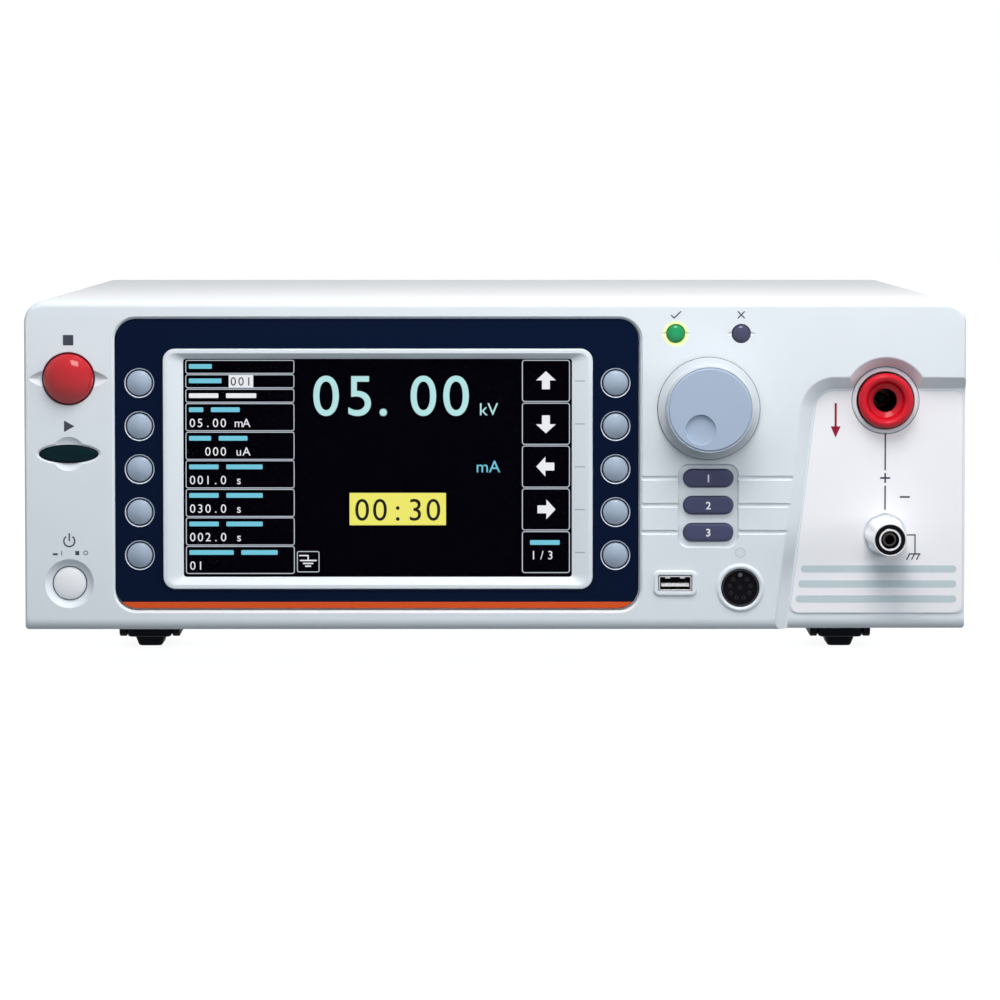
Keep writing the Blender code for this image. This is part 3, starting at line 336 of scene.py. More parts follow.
class Finish(Nodes):
    """One material: its node tree and the shader that its values feed."""

    def __init__(self, name, base, roughness, metallic=0.0, **constants):
        self.material = bpy.data.materials.new(name)
        self.material.use_nodes = True
        super().__init__(self.material.node_tree)
        self.shader = self.tree.nodes["Principled BSDF"]
        self.colour = (*base, 1.0)
        self.set("Base Color", self.colour)
        self.set("Roughness", roughness)
        self.set("Metallic", metallic)
        for socket, value in constants.items():
            self.set(socket.replace("_", " "), value)
        self.place = self.add("ShaderNodeTexCoord", {}, output="Object")

    def set(self, socket, value):
        """Sets a socket of the shader to a number, a colour or another node's value."""
        self.feed(self.shader.inputs[socket], value)

    def axis(self, which):
        """The x, y or z of the place on the surface, in metres."""
        return self.add("ShaderNodeSeparateXYZ", {0: self.place}, output=which)

    def noise(self, scale, detail=3.0, roughness=0.5, stretch=(1, 1, 1)):
        """Noise with features about 1 / scale metres wide, from 0 to 1."""
        place = self.add("ShaderNodeVectorMath", {0: self.place, 1: stretch}, operation="MULTIPLY")
        inputs = {"Vector": place, "Scale": scale, "Detail": detail, "Roughness": roughness}
        return self.add("ShaderNodeTexNoise", inputs)

    def tinted(self, amount, scale=60.0):
        """Slow variation of the base colour: darker and lighter by this share."""
        dark = [c * (1 - amount) for c in self.colour[:3]] + [1.0]
        light = [min(1.0, c * (1 + amount)) for c in self.colour[:3]] + [1.0]
        self.shade = self.mixed(self.noise(scale, 2.0), dark, light)
        self.set("Base Color", self.shade)

    def relief(self, height, distance, strength=0.3):
        """Bumps this many metres high from a height between 0 and 1."""
        inputs = {"Strength": strength, "Distance": distance, "Height": height}
        self.set("Normal", self.add("ShaderNodeBump", inputs))

    def uneven(self, base, spread, scale=250.0):
        """Roughness that wanders by this much round its base."""
        self.set("Roughness", self.noise(scale, 3.0) * (2 * spread) + (base - spread))


def moulded(name, base, roughness, grain=0.25, tint=0.02, shine=0.35, **constants):
    """Moulded plastic with a fine spark-eroded grain and slightly uneven gloss."""
    finish = Finish(name, base, roughness, Specular_IOR_Level=shine, **constants)
    finish.tinted(tint)
    finish.uneven(roughness, 0.04)
    fine = finish.noise(2600.0, 2.0, 0.6)
    broad = finish.noise(420.0, 2.0)
    finish.relief(fine * 0.7 + broad * 0.3, 0.00006, grain)
    return finish


def polished(name, base, roughness=0.12, coat=0.3, shine=0.25, **constants):
    """Glossy plastic: a clear skin over the colour, with faint waves from the mould."""
    finish = Finish(name, base, roughness, Coat_Weight=coat, Coat_Roughness=0.04,
                    Specular_IOR_Level=shine, **constants)
    finish.tinted(0.03)
    finish.uneven(roughness, 0.03)
    finish.relief(finish.noise(160.0, 2.0), 0.00004, 0.15)
    return finish


def plated(name, base, roughness=0.22, stretch=(1, 1, 1), scale=900.0):
    """Plated or turned metal, with fine marks along the axis that stretch leaves out."""
    finish = Finish(name, base, roughness, 1.0)
    finish.tinted(0.05, 120.0)
    marks = finish.noise(scale, 3.0, 0.6, stretch)
    finish.set("Roughness", marks * 0.16 + (roughness - 0.06))
    finish.relief(marks, 0.00003, 0.2)
    return finish


def painted(name, base):
    """Powder paint on sheet steel: the soft skin of orange peel, and a finer texture."""
    finish = Finish(name, base, 0.48, Specular_IOR_Level=0.05)
    finish.tinted(0.015, 25.0)
    finish.uneven(0.48, 0.05, 400.0)
    peel = finish.noise(330.0, 2.0, 0.4)
    fine = finish.noise(1500.0, 2.0, 0.6)
    finish.relief(peel * 0.6 + fine * 0.4, 0.00012, 0.28)
    return finish


def lit(name, base, strength):
    """A part of the screen that gives its own light, with the faint grid of its pixels."""
    finish = Finish(name, tuple(0.15 * c for c in base), 0.4, Specular_IOR_Level=0.1)
    columns = abs((finish.axis("X") / (PIXEL_PITCH * MM)).fraction() - 0.5)
    grid = (columns > 0.46) * 0.25
    bright = (*base, 1.0)
    finish.set("Emission Color", finish.mixed(grid, bright, (*(0.6 * c for c in base), 1.0)))
    finish.set("Emission Strength", strength)
    return finish


def plain_ink(name, base):
    """Screen-printed ink, slightly rough and a little uneven."""
    finish = Finish(name, base, 0.5, Specular_IOR_Level=0.15)
    finish.tinted(0.06, 700.0)
    finish.uneven(0.5, 0.06, 900.0)
    return finish


def arc(cx, cz, radius, start, end, steps):
    """Points at even angles from start to end, in degrees, on a circle round (cx, cz)."""
    angles = np.radians(np.linspace(start, end, steps + 1))
    return np.column_stack([cx + radius * np.cos(angles), cz + radius * np.sin(angles)])


def circle(cx, cz, radius, steps=96):
    """A circle: even angles all the way round, without the closing point."""
    return arc(cx, cz, radius, 0, 360, steps)[:-1]


def ellipse(cx, cz, half_width, half_height, steps=128):
    """A circle of radius one, stretched by both half sizes."""
    return circle(0, 0, 1, steps) * (half_width, half_height) + (cx, cz)


def rounded(box, radii, steps=14):
    """A rectangle (x0, z0, x1, z1) whose radii run bottom left, bottom right, top right, top left."""
    x0, z0, x1, z1 = box
    radii = radii if isinstance(radii, tuple) else (radii,) * 4
    corners = ((x0, z0, 1, 1), (x1, z0, -1, 1), (x1, z1, -1, -1), (x0, z1, 1, -1))
    return np.vstack([
        arc(x + right * r, z + up * r, r, 180 + 90 * turn, 270 + 90 * turn, steps)
        for turn, ((x, z, right, up), r) in enumerate(zip(corners, radii))
    ])


def centred(cx, cz, width, height, radius, steps=14):
    """A rounded rectangle round its middle."""
    box = (cx - width / 2, cz - height / 2, cx + width / 2, cz + height / 2)
    return rounded(box, radius, steps)


def grown(box, amount):
    """The box (x0, z0, x1, z1) with each side moved outward by this amount."""
    return (box[0] - amount, box[1] - amount, box[2] + amount, box[3] + amount)


def eye(cx, cz, half_width, half_height, steps=96):
    """An eye's outline: its height follows the sine of the angle, to the power of 1.4."""
    unit = circle(0, 0, 1, steps)
    height = np.sign(unit[:, 1]) * np.abs(unit[:, 1]) ** 1.4
    return np.column_stack([cx + half_width * unit[:, 0], cz + half_height * height])


def fillet(before, corner, after, radius, steps=6):
    """Points of the arc that rounds this corner of a path."""
    before, corner, after = (np.array(point, float)[:2] for point in (before, corner, after))
    back = (before - corner) / np.linalg.norm(before - corner)
    ahead = (after - corner) / np.linalg.norm(after - corner)
    half = math.acos(np.clip(back @ ahead, -1, 1)) / 2
    centre = corner + (back + ahead) / np.linalg.norm(back + ahead) * (radius / math.sin(half))
    start = corner + back * (radius / math.tan(half)) - centre
    end = corner + ahead * (radius / math.tan(half)) - centre
    first = math.atan2(start[1], start[0])
    sweep = math.remainder(math.atan2(end[1], end[0]) - first, math.tau)
    return arc(*centre, radius, math.degrees(first), math.degrees(first + sweep), steps)


def path(*corners, closed=False, steps=6):
    """A path through (a, b) or (a, b, radius) corners, each rounded by its radius."""
    rows = []
    for i, corner in enumerate(corners):
        inner = closed or 0 < i < len(corners) - 1
        if len(corner) == 3 and inner:
            rows.append(fillet(corners[i - 1], corner, corners[(i + 1) % len(corners)], corner[2], steps))
        else:
            rows.append(np.array([corner[:2]], float))
    return np.vstack(rows)


def offset(outline, distance):
    """The outline moved outward: each point goes along the normal of the chord past it."""
    tangent = np.roll(outline, -1, 0) - np.roll(outline, 1, 0)
    tangent /= np.linalg.norm(tangent, axis=1, keepdims=True)
    return outline + np.column_stack([tangent[:, 1], -tangent[:, 0]]) * distance


def surface(grid, ring=False):
    """Points and faces of a grid whose rows are closed outlines, capped unless they ring."""
    rows, columns = grid.shape[:2]
    index = np.arange(rows * columns).reshape(rows, columns)
    near = index if ring else index[:-1]
    far = np.roll(index, -1, 0) if ring else index[1:]
    quads = np.stack([near, np.roll(near, -1, 1), np.roll(far, -1, 1), far], -1)
    faces = quads.reshape(-1, 4).tolist()
    if not ring:
        faces += [index[0].tolist(), index[-1].tolist()]
    return grid.reshape(-1, 3), faces


def from_front(outline, depth):
    """An outline seen from the front, at this depth along Y."""
    return np.column_stack([outline[:, 0], np.full(len(outline), depth), outline[:, 1]])


def from_side(outline, depth):
    """An outline of (y, z) points seen from the side, at this x."""
    return np.column_stack([np.full(len(outline), depth), outline])


def from_above(outline, depth):
    """An outline of (x, y) points seen from above, at this height."""
    return np.column_stack([outline, np.full(len(outline), depth)])


def loft(sections, view=from_front, ring=False):
    """A surface through outlines with equal point counts, each at its own distance."""
    return surface(np.stack([view(outline, depth) for outline, depth in sections]), ring)


def swept(outline, profile, view=from_front, ring=False):
    """A profile of (outward offset, depth) pairs carried along a closed outline."""
    return loft([(offset(outline, out), depth) for out, depth in profile], view, ring)


def prism(outline, start, end, view=from_front):
    """An outline carried straight from one depth to another."""
    return loft([(outline, start), (outline, end)], view)


def turned(profile, steps=96, ring=False):
    """A (radius, depth) profile spun round Y: x = r cos a, z = r sin a."""
    angles = np.linspace(0, math.tau, steps, endpoint=False)
    radius, depth = np.asarray(profile, float)[:, :, None].transpose(1, 0, 2)
    grid = np.stack([radius * np.cos(angles), depth + 0 * angles, radius * np.sin(angles)], -1)
    return surface(grid, ring)


def moved(shape, x=0.0, y=0.0, z=0.0):
    """The shape with the same move added to every point."""
    points, faces = shape
    return points + (x, y, z), faces


def spun(shape, degrees, axis="Y"):
    """The shape turned about the X, Y or Z axis through its origin."""
    first, second = {"X": (1, 2), "Y": (2, 0), "Z": (0, 1)}[axis]
    points = np.array(shape[0], float)
    c, s = math.cos(math.radians(degrees)), math.sin(math.radians(degrees))
    a, b = points[:, first].copy(), points[:, second].copy()
    points[:, first] = a * c - b * s
    points[:, second] = a * s + b * c
    return points, shape[1]


def block(low, high):
    """A box between two opposite corners."""
    outline = np.array([(low[0], low[2]), (high[0], low[2]), (high[0], high[2]), (low[0], high[2])])
    return prism(outline, low[1], high[1])


def together(*shapes):
    """Several shapes as one list of points and faces."""
    points, faces, count = [], [], 0
    for shape_points, shape_faces in shapes:
        points.append(shape_points)
        faces += [[count + i for i in face] for face in shape_faces]
        count += len(shape_points)
    return np.vstack(points), faces


def lip(radius, steps=6):
    """A hole's rounded front edge, as offset and depth: a quarter circle that starts just proud."""
    angles = np.radians(np.linspace(12, 90, steps))
    curve = np.column_stack([radius * (1 - np.sin(angles)), radius * (1 - np.cos(angles))])
    return [(radius * 1.1 + 0.02, -0.9), (radius + 0.02, -0.02), *map(tuple, curve)]


def sunk(outline, depth, edge=0.3):
    """A cutter for a hole with a rounded front edge, down to this depth."""
    return swept(outline, [*lip(edge), (0, depth)])


def domed(radius, depth, height, reach, steps):
    """A dome's profile: the radius times an angle's sine, and the height times its cosine."""
    turn = np.linspace(0, reach, steps)
    return np.column_stack([radius * np.sin(turn), depth - height * np.cos(turn)])


def bowed(radius, depth, rise, reach, steps=14):
    """A shallow bowl's profile: the depth changes by the square of the share of the radius."""
    out = np.linspace(0, reach, steps)
    return np.column_stack([out, depth + rise * (out / radius) ** 2])


def to_mesh(name, shape):
    """A mesh in metres with its seams closed and its faces pointing outwards."""
    points, faces = shape
    mesh = bpy.data.meshes.new(name)
    mesh.from_pydata((np.asarray(points) * MM).tolist(), [], faces)
    bm = bmesh.new()
    bm.from_mesh(mesh)
    bmesh.ops.remove_doubles(bm, verts=bm.verts, dist=1e-6)
    bmesh.ops.dissolve_degenerate(bm, edges=bm.edges, dist=1e-8)
    bmesh.ops.recalc_face_normals(bm, faces=bm.faces)
    bm.to_mesh(mesh)
    bm.free()
    return mesh


def carved(mesh, *steps):
    """The mesh after a row of ("DIFFERENCE" or "UNION", shape) Booleans."""
    name = mesh.name
    work = bpy.data.objects.new("work", mesh)
    bpy.context.scene.collection.objects.link(work)
    for operation, shape in steps:
        tool = bpy.data.objects.new("tool", to_mesh("tool", shape))
        bpy.context.scene.collection.objects.link(tool)
        modifier = work.modifiers.new("cut", "BOOLEAN")
        modifier.operation = operation
        modifier.solver = "EXACT"
        modifier.object = tool
        evaluated = work.evaluated_get(bpy.context.evaluated_depsgraph_get())
        work.data = bpy.data.meshes.new_from_object(evaluated)
        work.modifiers.clear()
        bpy.data.objects.remove(tool)
    mesh = work.data
    mesh.name = name
    bpy.data.objects.remove(work)
    return mesh


def show(name, mesh, finish, nodes=(), body="chassis", sharp=32):
    """Puts a finished piece in the scene: shading, material, the body it rides and what it replaces."""
    if not isinstance(mesh, bpy.types.Mesh):
        mesh = to_mesh(name, mesh)
    piece = bpy.data.objects.new(name, mesh)
    bpy.context.scene.collection.objects.link(piece)
    mesh.materials.clear()
    mesh.materials.append(finish.material if isinstance(finish, Finish) else finish)
    mesh.shade_smooth()
    mesh.set_sharp_from_angle(angle=math.radians(sharp))
    smooth = piece.modifiers.new("even shading", "WEIGHTED_NORMAL")
    smooth.keep_sharp = True
    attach(piece, body)
    if nodes:
        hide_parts(*([nodes] if isinstance(nodes, str) else nodes))
    return piece


def lettered(text, height, x, z, depth, thick=0.05, align="CENTER", bold=0.0):
    """Figures or signs as a thin raised shape, x and z being the middle of the line's foot."""
    curve = bpy.data.curves.new("lettering", "FONT")
    curve.body = text
    curve.align_x = align
    curve.size = height * 1.38
    curve.offset = bold
    curve.resolution_u = 6
    curve.extrude = thick / 2
    letters = bpy.data.objects.new("lettering", curve)
    bpy.context.scene.collection.objects.link(letters)
    evaluated = letters.evaluated_get(bpy.context.evaluated_depsgraph_get())
    mesh = evaluated.to_mesh()
    points = np.empty(len(mesh.vertices) * 3)
    mesh.vertices.foreach_get("co", points)
    points = points.reshape(-1, 3)
    faces = [list(polygon.vertices) for polygon in mesh.polygons]
    evaluated.to_mesh_clear()
    bpy.data.objects.remove(letters)
    # The figures lie in X and Y and stand towards +Z, which here faces the viewer at -Y.
    turned_up = np.column_stack([points[:, 0] + x, depth - points[:, 2], points[:, 1] + z])
    return turned_up, faces


def line(x0, z0, x1, z1, width, start, end):
    """A straight printed stroke between two points."""
    along = np.array((x1 - x0, z1 - z0), float)
    along /= np.linalg.norm(along)
    side = np.array((-along[1], along[0])) * width / 2
    a, b = np.array((x0, z0)), np.array((x1, z1))
    return prism(np.array([a - side, b - side, b + side, a + side]), start, end)


def hollow_box(box, width, radius, start, end, steps=5):
    """A printed rectangle drawn as a line of this width."""
    outer = rounded(box, radius, steps)
    inner = rounded(grown(box, -width), max(radius - width, 0.05), steps)
    return loft([(outer, start), (outer, end), (inner, end), (inner, start)], ring=True)


def annulus(cx, cz, outer, inner, start, end, steps=48):
    """A flat ring: two circles about one centre, joined at both depths."""
    big, small = circle(cx, cz, outer, steps), circle(cx, cz, inner, steps)
    return loft([(big, start), (big, end), (small, end), (small, start)], ring=True)


def on_front(shape, place=(0, 0)):
    """Behind the front face at this place, where depth counts into the case."""
    return moved(shape, place[0], FRONT, place[1])


def on_rear(shape, place=(0, 0)):
    """Outward from the rear panel at this place, where depth counts away from the panel."""
    return moved(shape, place[0], REAR, place[1])


def rear_place(place):
    """The move, in metres, that puts a mesh at this place on the rear panel."""
    return Matrix.Translation(Vector((place[0], REAR, place[1])) * MM)


def case_outline(inset):
    """The case seen from the front, moved in by this share of its edge rounding."""
    half = HALF_WIDTH - 1.2 * inset
    corner = 9.0 - 2 * inset
    low = 1.5 + 0.6 * inset
    return rounded((-half, BOTTOM + 4.4 * inset, half, TOP - 3.0 * inset), (low, low, corner, corner))


def edge_section(turn):
    """Inset and depth of a quarter-round edge, each as a share of the whole."""
    angle = math.radians(90 * turn)
    return 1 - math.cos(angle), 1 - math.sin(angle)


def output_outline(foot_x, lean, top, corner, arch, low=BOTTOM - 1, right=HALF_WIDTH + 1):
    """The output recess: a leaning side, a rounded shoulder and an arch over the socket."""
    rise = math.degrees(math.asin((top - HV[1]) / arch))
    foot = (foot_x + lean * (low - BOTTOM), low)
    shoulder = (foot_x + lean * (top - BOTTOM), top)
    return np.vstack([
        [foot, (right, low), (right, top)],
        arc(*HV, arch, rise, 180 - rise, 48),
        fillet((HV[0] - arch, top), shoulder, foot, corner, 24),
    ])


def recess_cutter(depth):
    """The recess between its mouth and its floor, with both edges of its slope rounded."""
    mouth, floor = output_outline(**RECESS_MOUTH), output_outline(**RECESS_FLOOR)
    reach = 4.7
    slope = path((-2.5, -0.12), (0, 0, 1.6), (reach, depth, 0.9), (reach + 1.2, depth), steps=8)
    return loft([(mouth + (floor - mouth) * (out / reach), w) for out, w in slope])


def dished(outer, inner, depth, start=-0.3, steps=10):
    """A hollow between two outlines whose slope follows a quarter sine, steep at the edge."""
    sections = [(outer + (outer - inner) * 0.06, start)]
    for turn in np.linspace(0, 1, steps):
        level = depth * math.sin(math.radians(90 * turn)) + 0.02
        sections.append((outer + (inner - outer) * turn, level))
    return loft(sections)


def key_grooves():
    """The three lines from the display to the recess: a wall above and a long slope below."""
    shapes = []
    half = KEY_PLATE[2] / 2 - 0.7
    for x, z in FUNCTIONS:
        top = z + 1.0
        profile = path((-0.6, top), (0.65, top - 0.1), (0.55, top - 1.65, 0.15), (-0.3, top - 2.15))
        reach = RECESS_MOUTH["foot_x"] + RECESS_MOUTH["lean"] * (top - BOTTOM) + 0.4
        shapes.append(prism(profile, POCKET[2] - 0.4, x - half, from_side))
        shapes.append(prism(profile, x + half, reach, from_side))
    return shapes


def bottom_step(depth, edge):
    """The rounded bottom edge of the panel, repeated on the recess floor."""
    profile = []
    for turn in np.linspace(0, 1, 9):
        inset, back = edge_section(turn)
        profile.append((depth + edge * back, BOTTOM + 4.4 * inset))
    profile += [(depth - 1, BOTTOM + 4.4), (depth - 1, BOTTOM - 1), (depth + edge, BOTTOM - 1)]
    return prism(np.array(profile), RECESS_FLOOR["foot_x"] + 0.6, HALF_WIDTH + 1, from_side)


def fascia_holes():
    """Every opening through the front, each with its own rounded edge."""
    deep = WALL_DEPTH + 2
    shapes = [
        prism(rounded(WINDOW, 3.0), -2, deep),
        sunk(circle(*STOP, 10.7), deep, 0.35),
        sunk(ellipse(*START, 12.1, 3.75), deep, 0.25),
        sunk(circle(*PASS_LAMP, 3.85), deep, 0.2),
        sunk(circle(*FAIL_LAMP, 3.85), deep, 0.2),
        prism(circle(*POWER, 7.0), -2, deep),
        prism(circle(*KNOB, 4.9, 48), -2, deep),
        prism(centred(*USB, 13.7, 6.5, 0.6), -2, deep),
        prism(circle(*REMOTE, 8.2), -2, deep),
        prism(circle(*HV, 11.9), -2, deep),
        prism(circle(*RETURN, 6.4), -2, deep),
    ]
    shapes += [sunk(centred(x, z, 20.5, 7.6, 3.79), deep, 0.3) for x, z in FUNCTIONS]
    for key in SOFTKEYS:
        shapes.append(prism(circle(*middle_of("softkey_" + key), 6.02), -2, deep))
    return shapes


def halo(finish, centre, radius, tone, strength):
    """Light round a lamp: e to the power of minus the distance, in radii, to the eighth."""
    x = (finish.axis("X") - centre[0] * MM) / (radius * MM)
    z = (finish.axis("Z") - centre[1] * MM) / (radius * MM)
    fade = ((x * x + z * z) ** 4 * -1.0).exponential()
    finish.set("Base Color", finish.mixed(fade, finish.shade, (*tone, 1.0)))
    finish.set("Emission Color", finish.mixed(fade, (0, 0, 0, 1), (*tone, 1.0)))
    finish.set("Emission Strength", strength)


def build_fascia(settings, controls):
    """The moulded front, with its pocket, recess, hollows, grooves and openings."""
    edge = settings.edge / MM
    depth = settings.recess / MM
    sections = [(case_outline(0), FASCIA_DEPTH)]
    for turn in np.linspace(0, 1, 11):
        inset, back = edge_section(turn)
        sections.append((case_outline(inset), edge * back))
    body = to_mesh("fascia_moulding", on_front(loft(sections)))
    inside = grown((-HALF_WIDTH, BOTTOM, HALF_WIDTH, TOP), -2.6)
    slope = path((-0.05, 0.03), (-1.0, BEZEL_DEPTH - 0.05, 0.3), (-1.15, POCKET_DEPTH))
    pocket = np.vstack([[(0.25, -1), (0.0, -0.02)], slope])
    plate = centred(*KEY_PLATE[:2], KEY_PLATE[2] + 0.6, KEY_PLATE[3] + 0.6, 4.3)
    plate_floor = centred(*KEY_PLATE[:2], KEY_PLATE[2] - 0.9, KEY_PLATE[3] - 0.9, 3.6)
    hollows = [
        recess_cutter(depth),
        swept(rounded(POCKET, 9.6), pocket),
        dished(eye(*STOP, 16.0, 4.8), eye(*STOP, 11.0, 2.4), 1.5),
        dished(circle(*START, 6.9), circle(*START, 3.8), 1.1),
        dished(circle(*POWER, 9.9), circle(*POWER, 7.0), 2.6),
        dished(eye(*PASS_LAMP, 5.8, 1.3), eye(*PASS_LAMP, 4.2, 0.6), 0.4),
        dished(eye(*FAIL_LAMP, 5.8, 1.3), eye(*FAIL_LAMP, 4.2, 0.6), 0.4),
        dished(plate, plate_floor, 1.2),
    ]
    body = carved(
        body,
        ("DIFFERENCE", on_front(prism(rounded(inside, (1.0, 1.0, 6.4, 6.4)), WALL_DEPTH, 30))),
        ("DIFFERENCE", on_front(together(*hollows))),
        ("DIFFERENCE", on_front(together(*key_grooves(), bottom_step(depth, edge)))),
        ("DIFFERENCE", on_front(dished(ellipse(*START, 13.0, 4.5), ellipse(*START, 12.1, 3.65), 0.5))),
        ("DIFFERENCE", on_front(together(*fascia_holes()))),
    )
    plastic = moulded("fascia plastic", settings.plastic, 0.42, 0.18)
    halo(plastic, PASS_LAMP, 4.9, controls.glow, 0.15)
    show("fascia_moulding", body, plastic, "front_fascia", sharp=38)


def build_rims(settings):
    """The raised rims round the USB port and the remote socket, and the high-voltage collar."""
    plastic = moulded("rim plastic", settings.plastic, 0.38, 0.1)
    surround = centred(0, 0, 13.7, 6.5, 0.6)
    wall = path((0.02, 3), (0.02, -0.9, 0.35), (1.5, -0.9, 0.7), (2.3, 0.3), (2.3, 3))
    usb = swept(surround, wall, ring=True)
    show("usb_surround", on_front(usb, USB), plastic)
    ring = path((7.75, 3), (7.75, -0.4, 0.5), (8.8, -1.0, 0.7), (10.3, 0.3), (10.3, 3))
    show("remote_surround", on_front(turned(ring, 128, ring=True), REMOTE), plastic)
    collar = path((11.75, 7), (11.75, 4.6, 0.2), (13.2, 4.5, 0.3), (13.2, 7), steps=8)
    show("hv_collar", on_front(turned(collar, 160, ring=True), HV), plastic)


def build_output_plate(settings, sockets):
    """The thin plate on the recess floor, with its printed stripes, lines and signs."""
    floor, depth = RECESS_FLOOR, settings.recess / MM
    low, top, right = BOTTOM + 6.2, floor["top"] - 0.5, HALF_WIDTH - 0.5
    left = (floor["foot_x"] + 0.5 + floor["lean"] * (low - BOTTOM), low)
    shoulder = (floor["foot_x"] + 0.5 + floor["lean"] * (top - BOTTOM), top)
    corners = [(*left, 3.6), (right, low, 3.6), (right, top, 3.6), (*shoulder, floor["corner"] - 1.0)]
    outline = path(*corners, closed=True, steps=16)
    profile = path((0, depth - 0.02), (0, depth - 0.42, 0.14), (-0.6, depth - 0.42), steps=5)
    openings = together(
        prism(circle(*HV, 13.45, 160), 0, 9),
        prism(circle(*RETURN, 8.9), 0, 9),
    )
    plate = to_mesh("output_label", on_front(swept(outline, profile)))
    plate = carved(plate, ("DIFFERENCE", on_front(openings)))
    finish = moulded("plate lacquer", settings.plate, 0.3, 0.06, 0.01)
    show("output_label", plate, finish, "output_plate")
    start, end = depth - 0.40, depth - 0.46
    stripes = []
    for row, left_x in enumerate((126.6, 125.5, 124.4)):
        z = BOTTOM + 24.2 - 6.08 * row
        stripes.append(prism(rounded((left_x - 2.8, z - 1.45, 186.7, z + 1.45), 1.44, 8), start, end))
    stripe_ink = plain_ink("stripe ink", sockets.stripe)
    show("output_stripes", on_front(together(*stripes)), stripe_ink)
    outer, inner = offset(outline, -0.25), offset(outline, -0.5)
    border = [(outer, start), (outer, end), (inner, end), (inner, start)]
    border = to_mesh("output_border", on_front(loft(border, ring=True)))
    border = carved(border, ("DIFFERENCE", on_front(prism(circle(*HV, 13.9, 160), 0, 9))))
    show("output_border", border, stripe_ink)
    x, z = RETURN
    # The line between the sockets, the two signs beside it, and the earth sign at its foot.
    strokes = [
        line(x, 79.2, x, 94.3, 0.6, start, end),
        line(x, 63.2, x, 73.0, 0.6, start, end),
        line(x - 2.0, 76.1, x + 2.0, 76.1, 0.7, start, end),
        line(x + 6.0, 68.4, x + 10.0, 68.4, 0.7, start, end),
        line(x, 74.1, x, 78.1, 0.7, start - 0.003, end - 0.004),
        line(x + 8.8, 53.0, x + 12.4, 53.0, 0.52, start, end),
        line(x + 12.2, 53.2, x + 12.2, 45.4, 0.52, start, end),
        line(x + 9.8, 45.3, x + 14.4, 45.3, 0.52, start, end),
    ]
    for foot in (0, 2.0, 4.0):
        strokes.append(line(x + 10.0 + foot, 45.2, x + 8.8 + foot, 42.9, 0.5, start, end))
    strokes.append(annulus(*HV, 13.72, 13.5, start, end, 160))
    show("output_signs", on_front(together(*strokes)), plain_ink("line ink", (0.05, 0.06, 0.09)))
    arrow = [
        line(137.6, 106.4, 137.6, 96.6, 0.9, start, end),
        prism(np.array([(135.6, 97.0), (137.6, 92.4), (139.6, 97.0)]), start, end),
    ]
    show("output_arrow", on_front(together(*arrow)), plain_ink("arrow ink", sockets.arrow))


def build_front_signs(controls):
    """Printed signs beside the buttons, lamps and sockets: strokes, arcs and filled outlines."""
    start, end = 0.05, -0.035
    x, z = STOP
    above = z + 15.6
    signs = [prism(centred(x, above, 4.2, 4.2, 0.3, 4), start, end)]
    x, z = START
    signs.append(prism(np.array([(x - 1.8, z + 8.9), (x + 2.4, z + 11.2), (x - 1.8, z + 13.5)]), start, end))
    x, z = POWER
    bent = np.vstack([arc(x, z + 17.2, 2.5, 125, 415, 40), arc(x, z + 17.2, 1.9, 415, 125, 40)])
    signs.append(prism(bent, start, end))
    signs.append(line(x, z + 17.2, x, z + 20.4, 0.6, start, end))
    signs.append(prism(rounded((x - 6.7, z + 11.5, x - 4.7, z + 12.3), 0.1, 2), start, end))
    signs.append(line(x - 3.1, z + 11.3, x - 3.1, z + 13.3, 0.3, start, end))
    signs.append(prism(rounded((x + 2.4, z + 11.5, x + 4.0, z + 13.2), 0.1, 2), start, end))
    signs.append(annulus(x + 6.6, z + 12.4, 0.95, 0.65, start, end))
    x, z = PASS_LAMP
    signs.append(line(x - 1.9, z + 7.5, x - 0.6, z + 6.2, 0.5, start, end))
    signs.append(line(x - 0.75, z + 6.2, x + 2.1, z + 9.0, 0.5, start, end))
    x, z = FAIL_LAMP
    signs.append(line(x - 1.4, z + 6.2, x + 1.4, z + 9.0, 0.5, start, end))
    signs.append(line(x - 1.4, z + 9.0, x + 1.4, z + 6.2, 0.5, start - 0.003, end - 0.004))
    show("front_signs", on_front(together(*signs)), plain_ink("sign ink", controls.print_ink))
    x, z = REMOTE
    dots = [annulus(x, z + 14.3, 2.1, 1.75, start, -0.12)]
    for px, pz in circle(x, z + 14.3, 1.05, 6):
        dots.append(prism(circle(px, pz, 0.24, 12), start, -0.12))
    show("remote_sign", on_front(together(*dots)), moulded("raised sign", (0.58, 0.60, 0.65), 0.4))


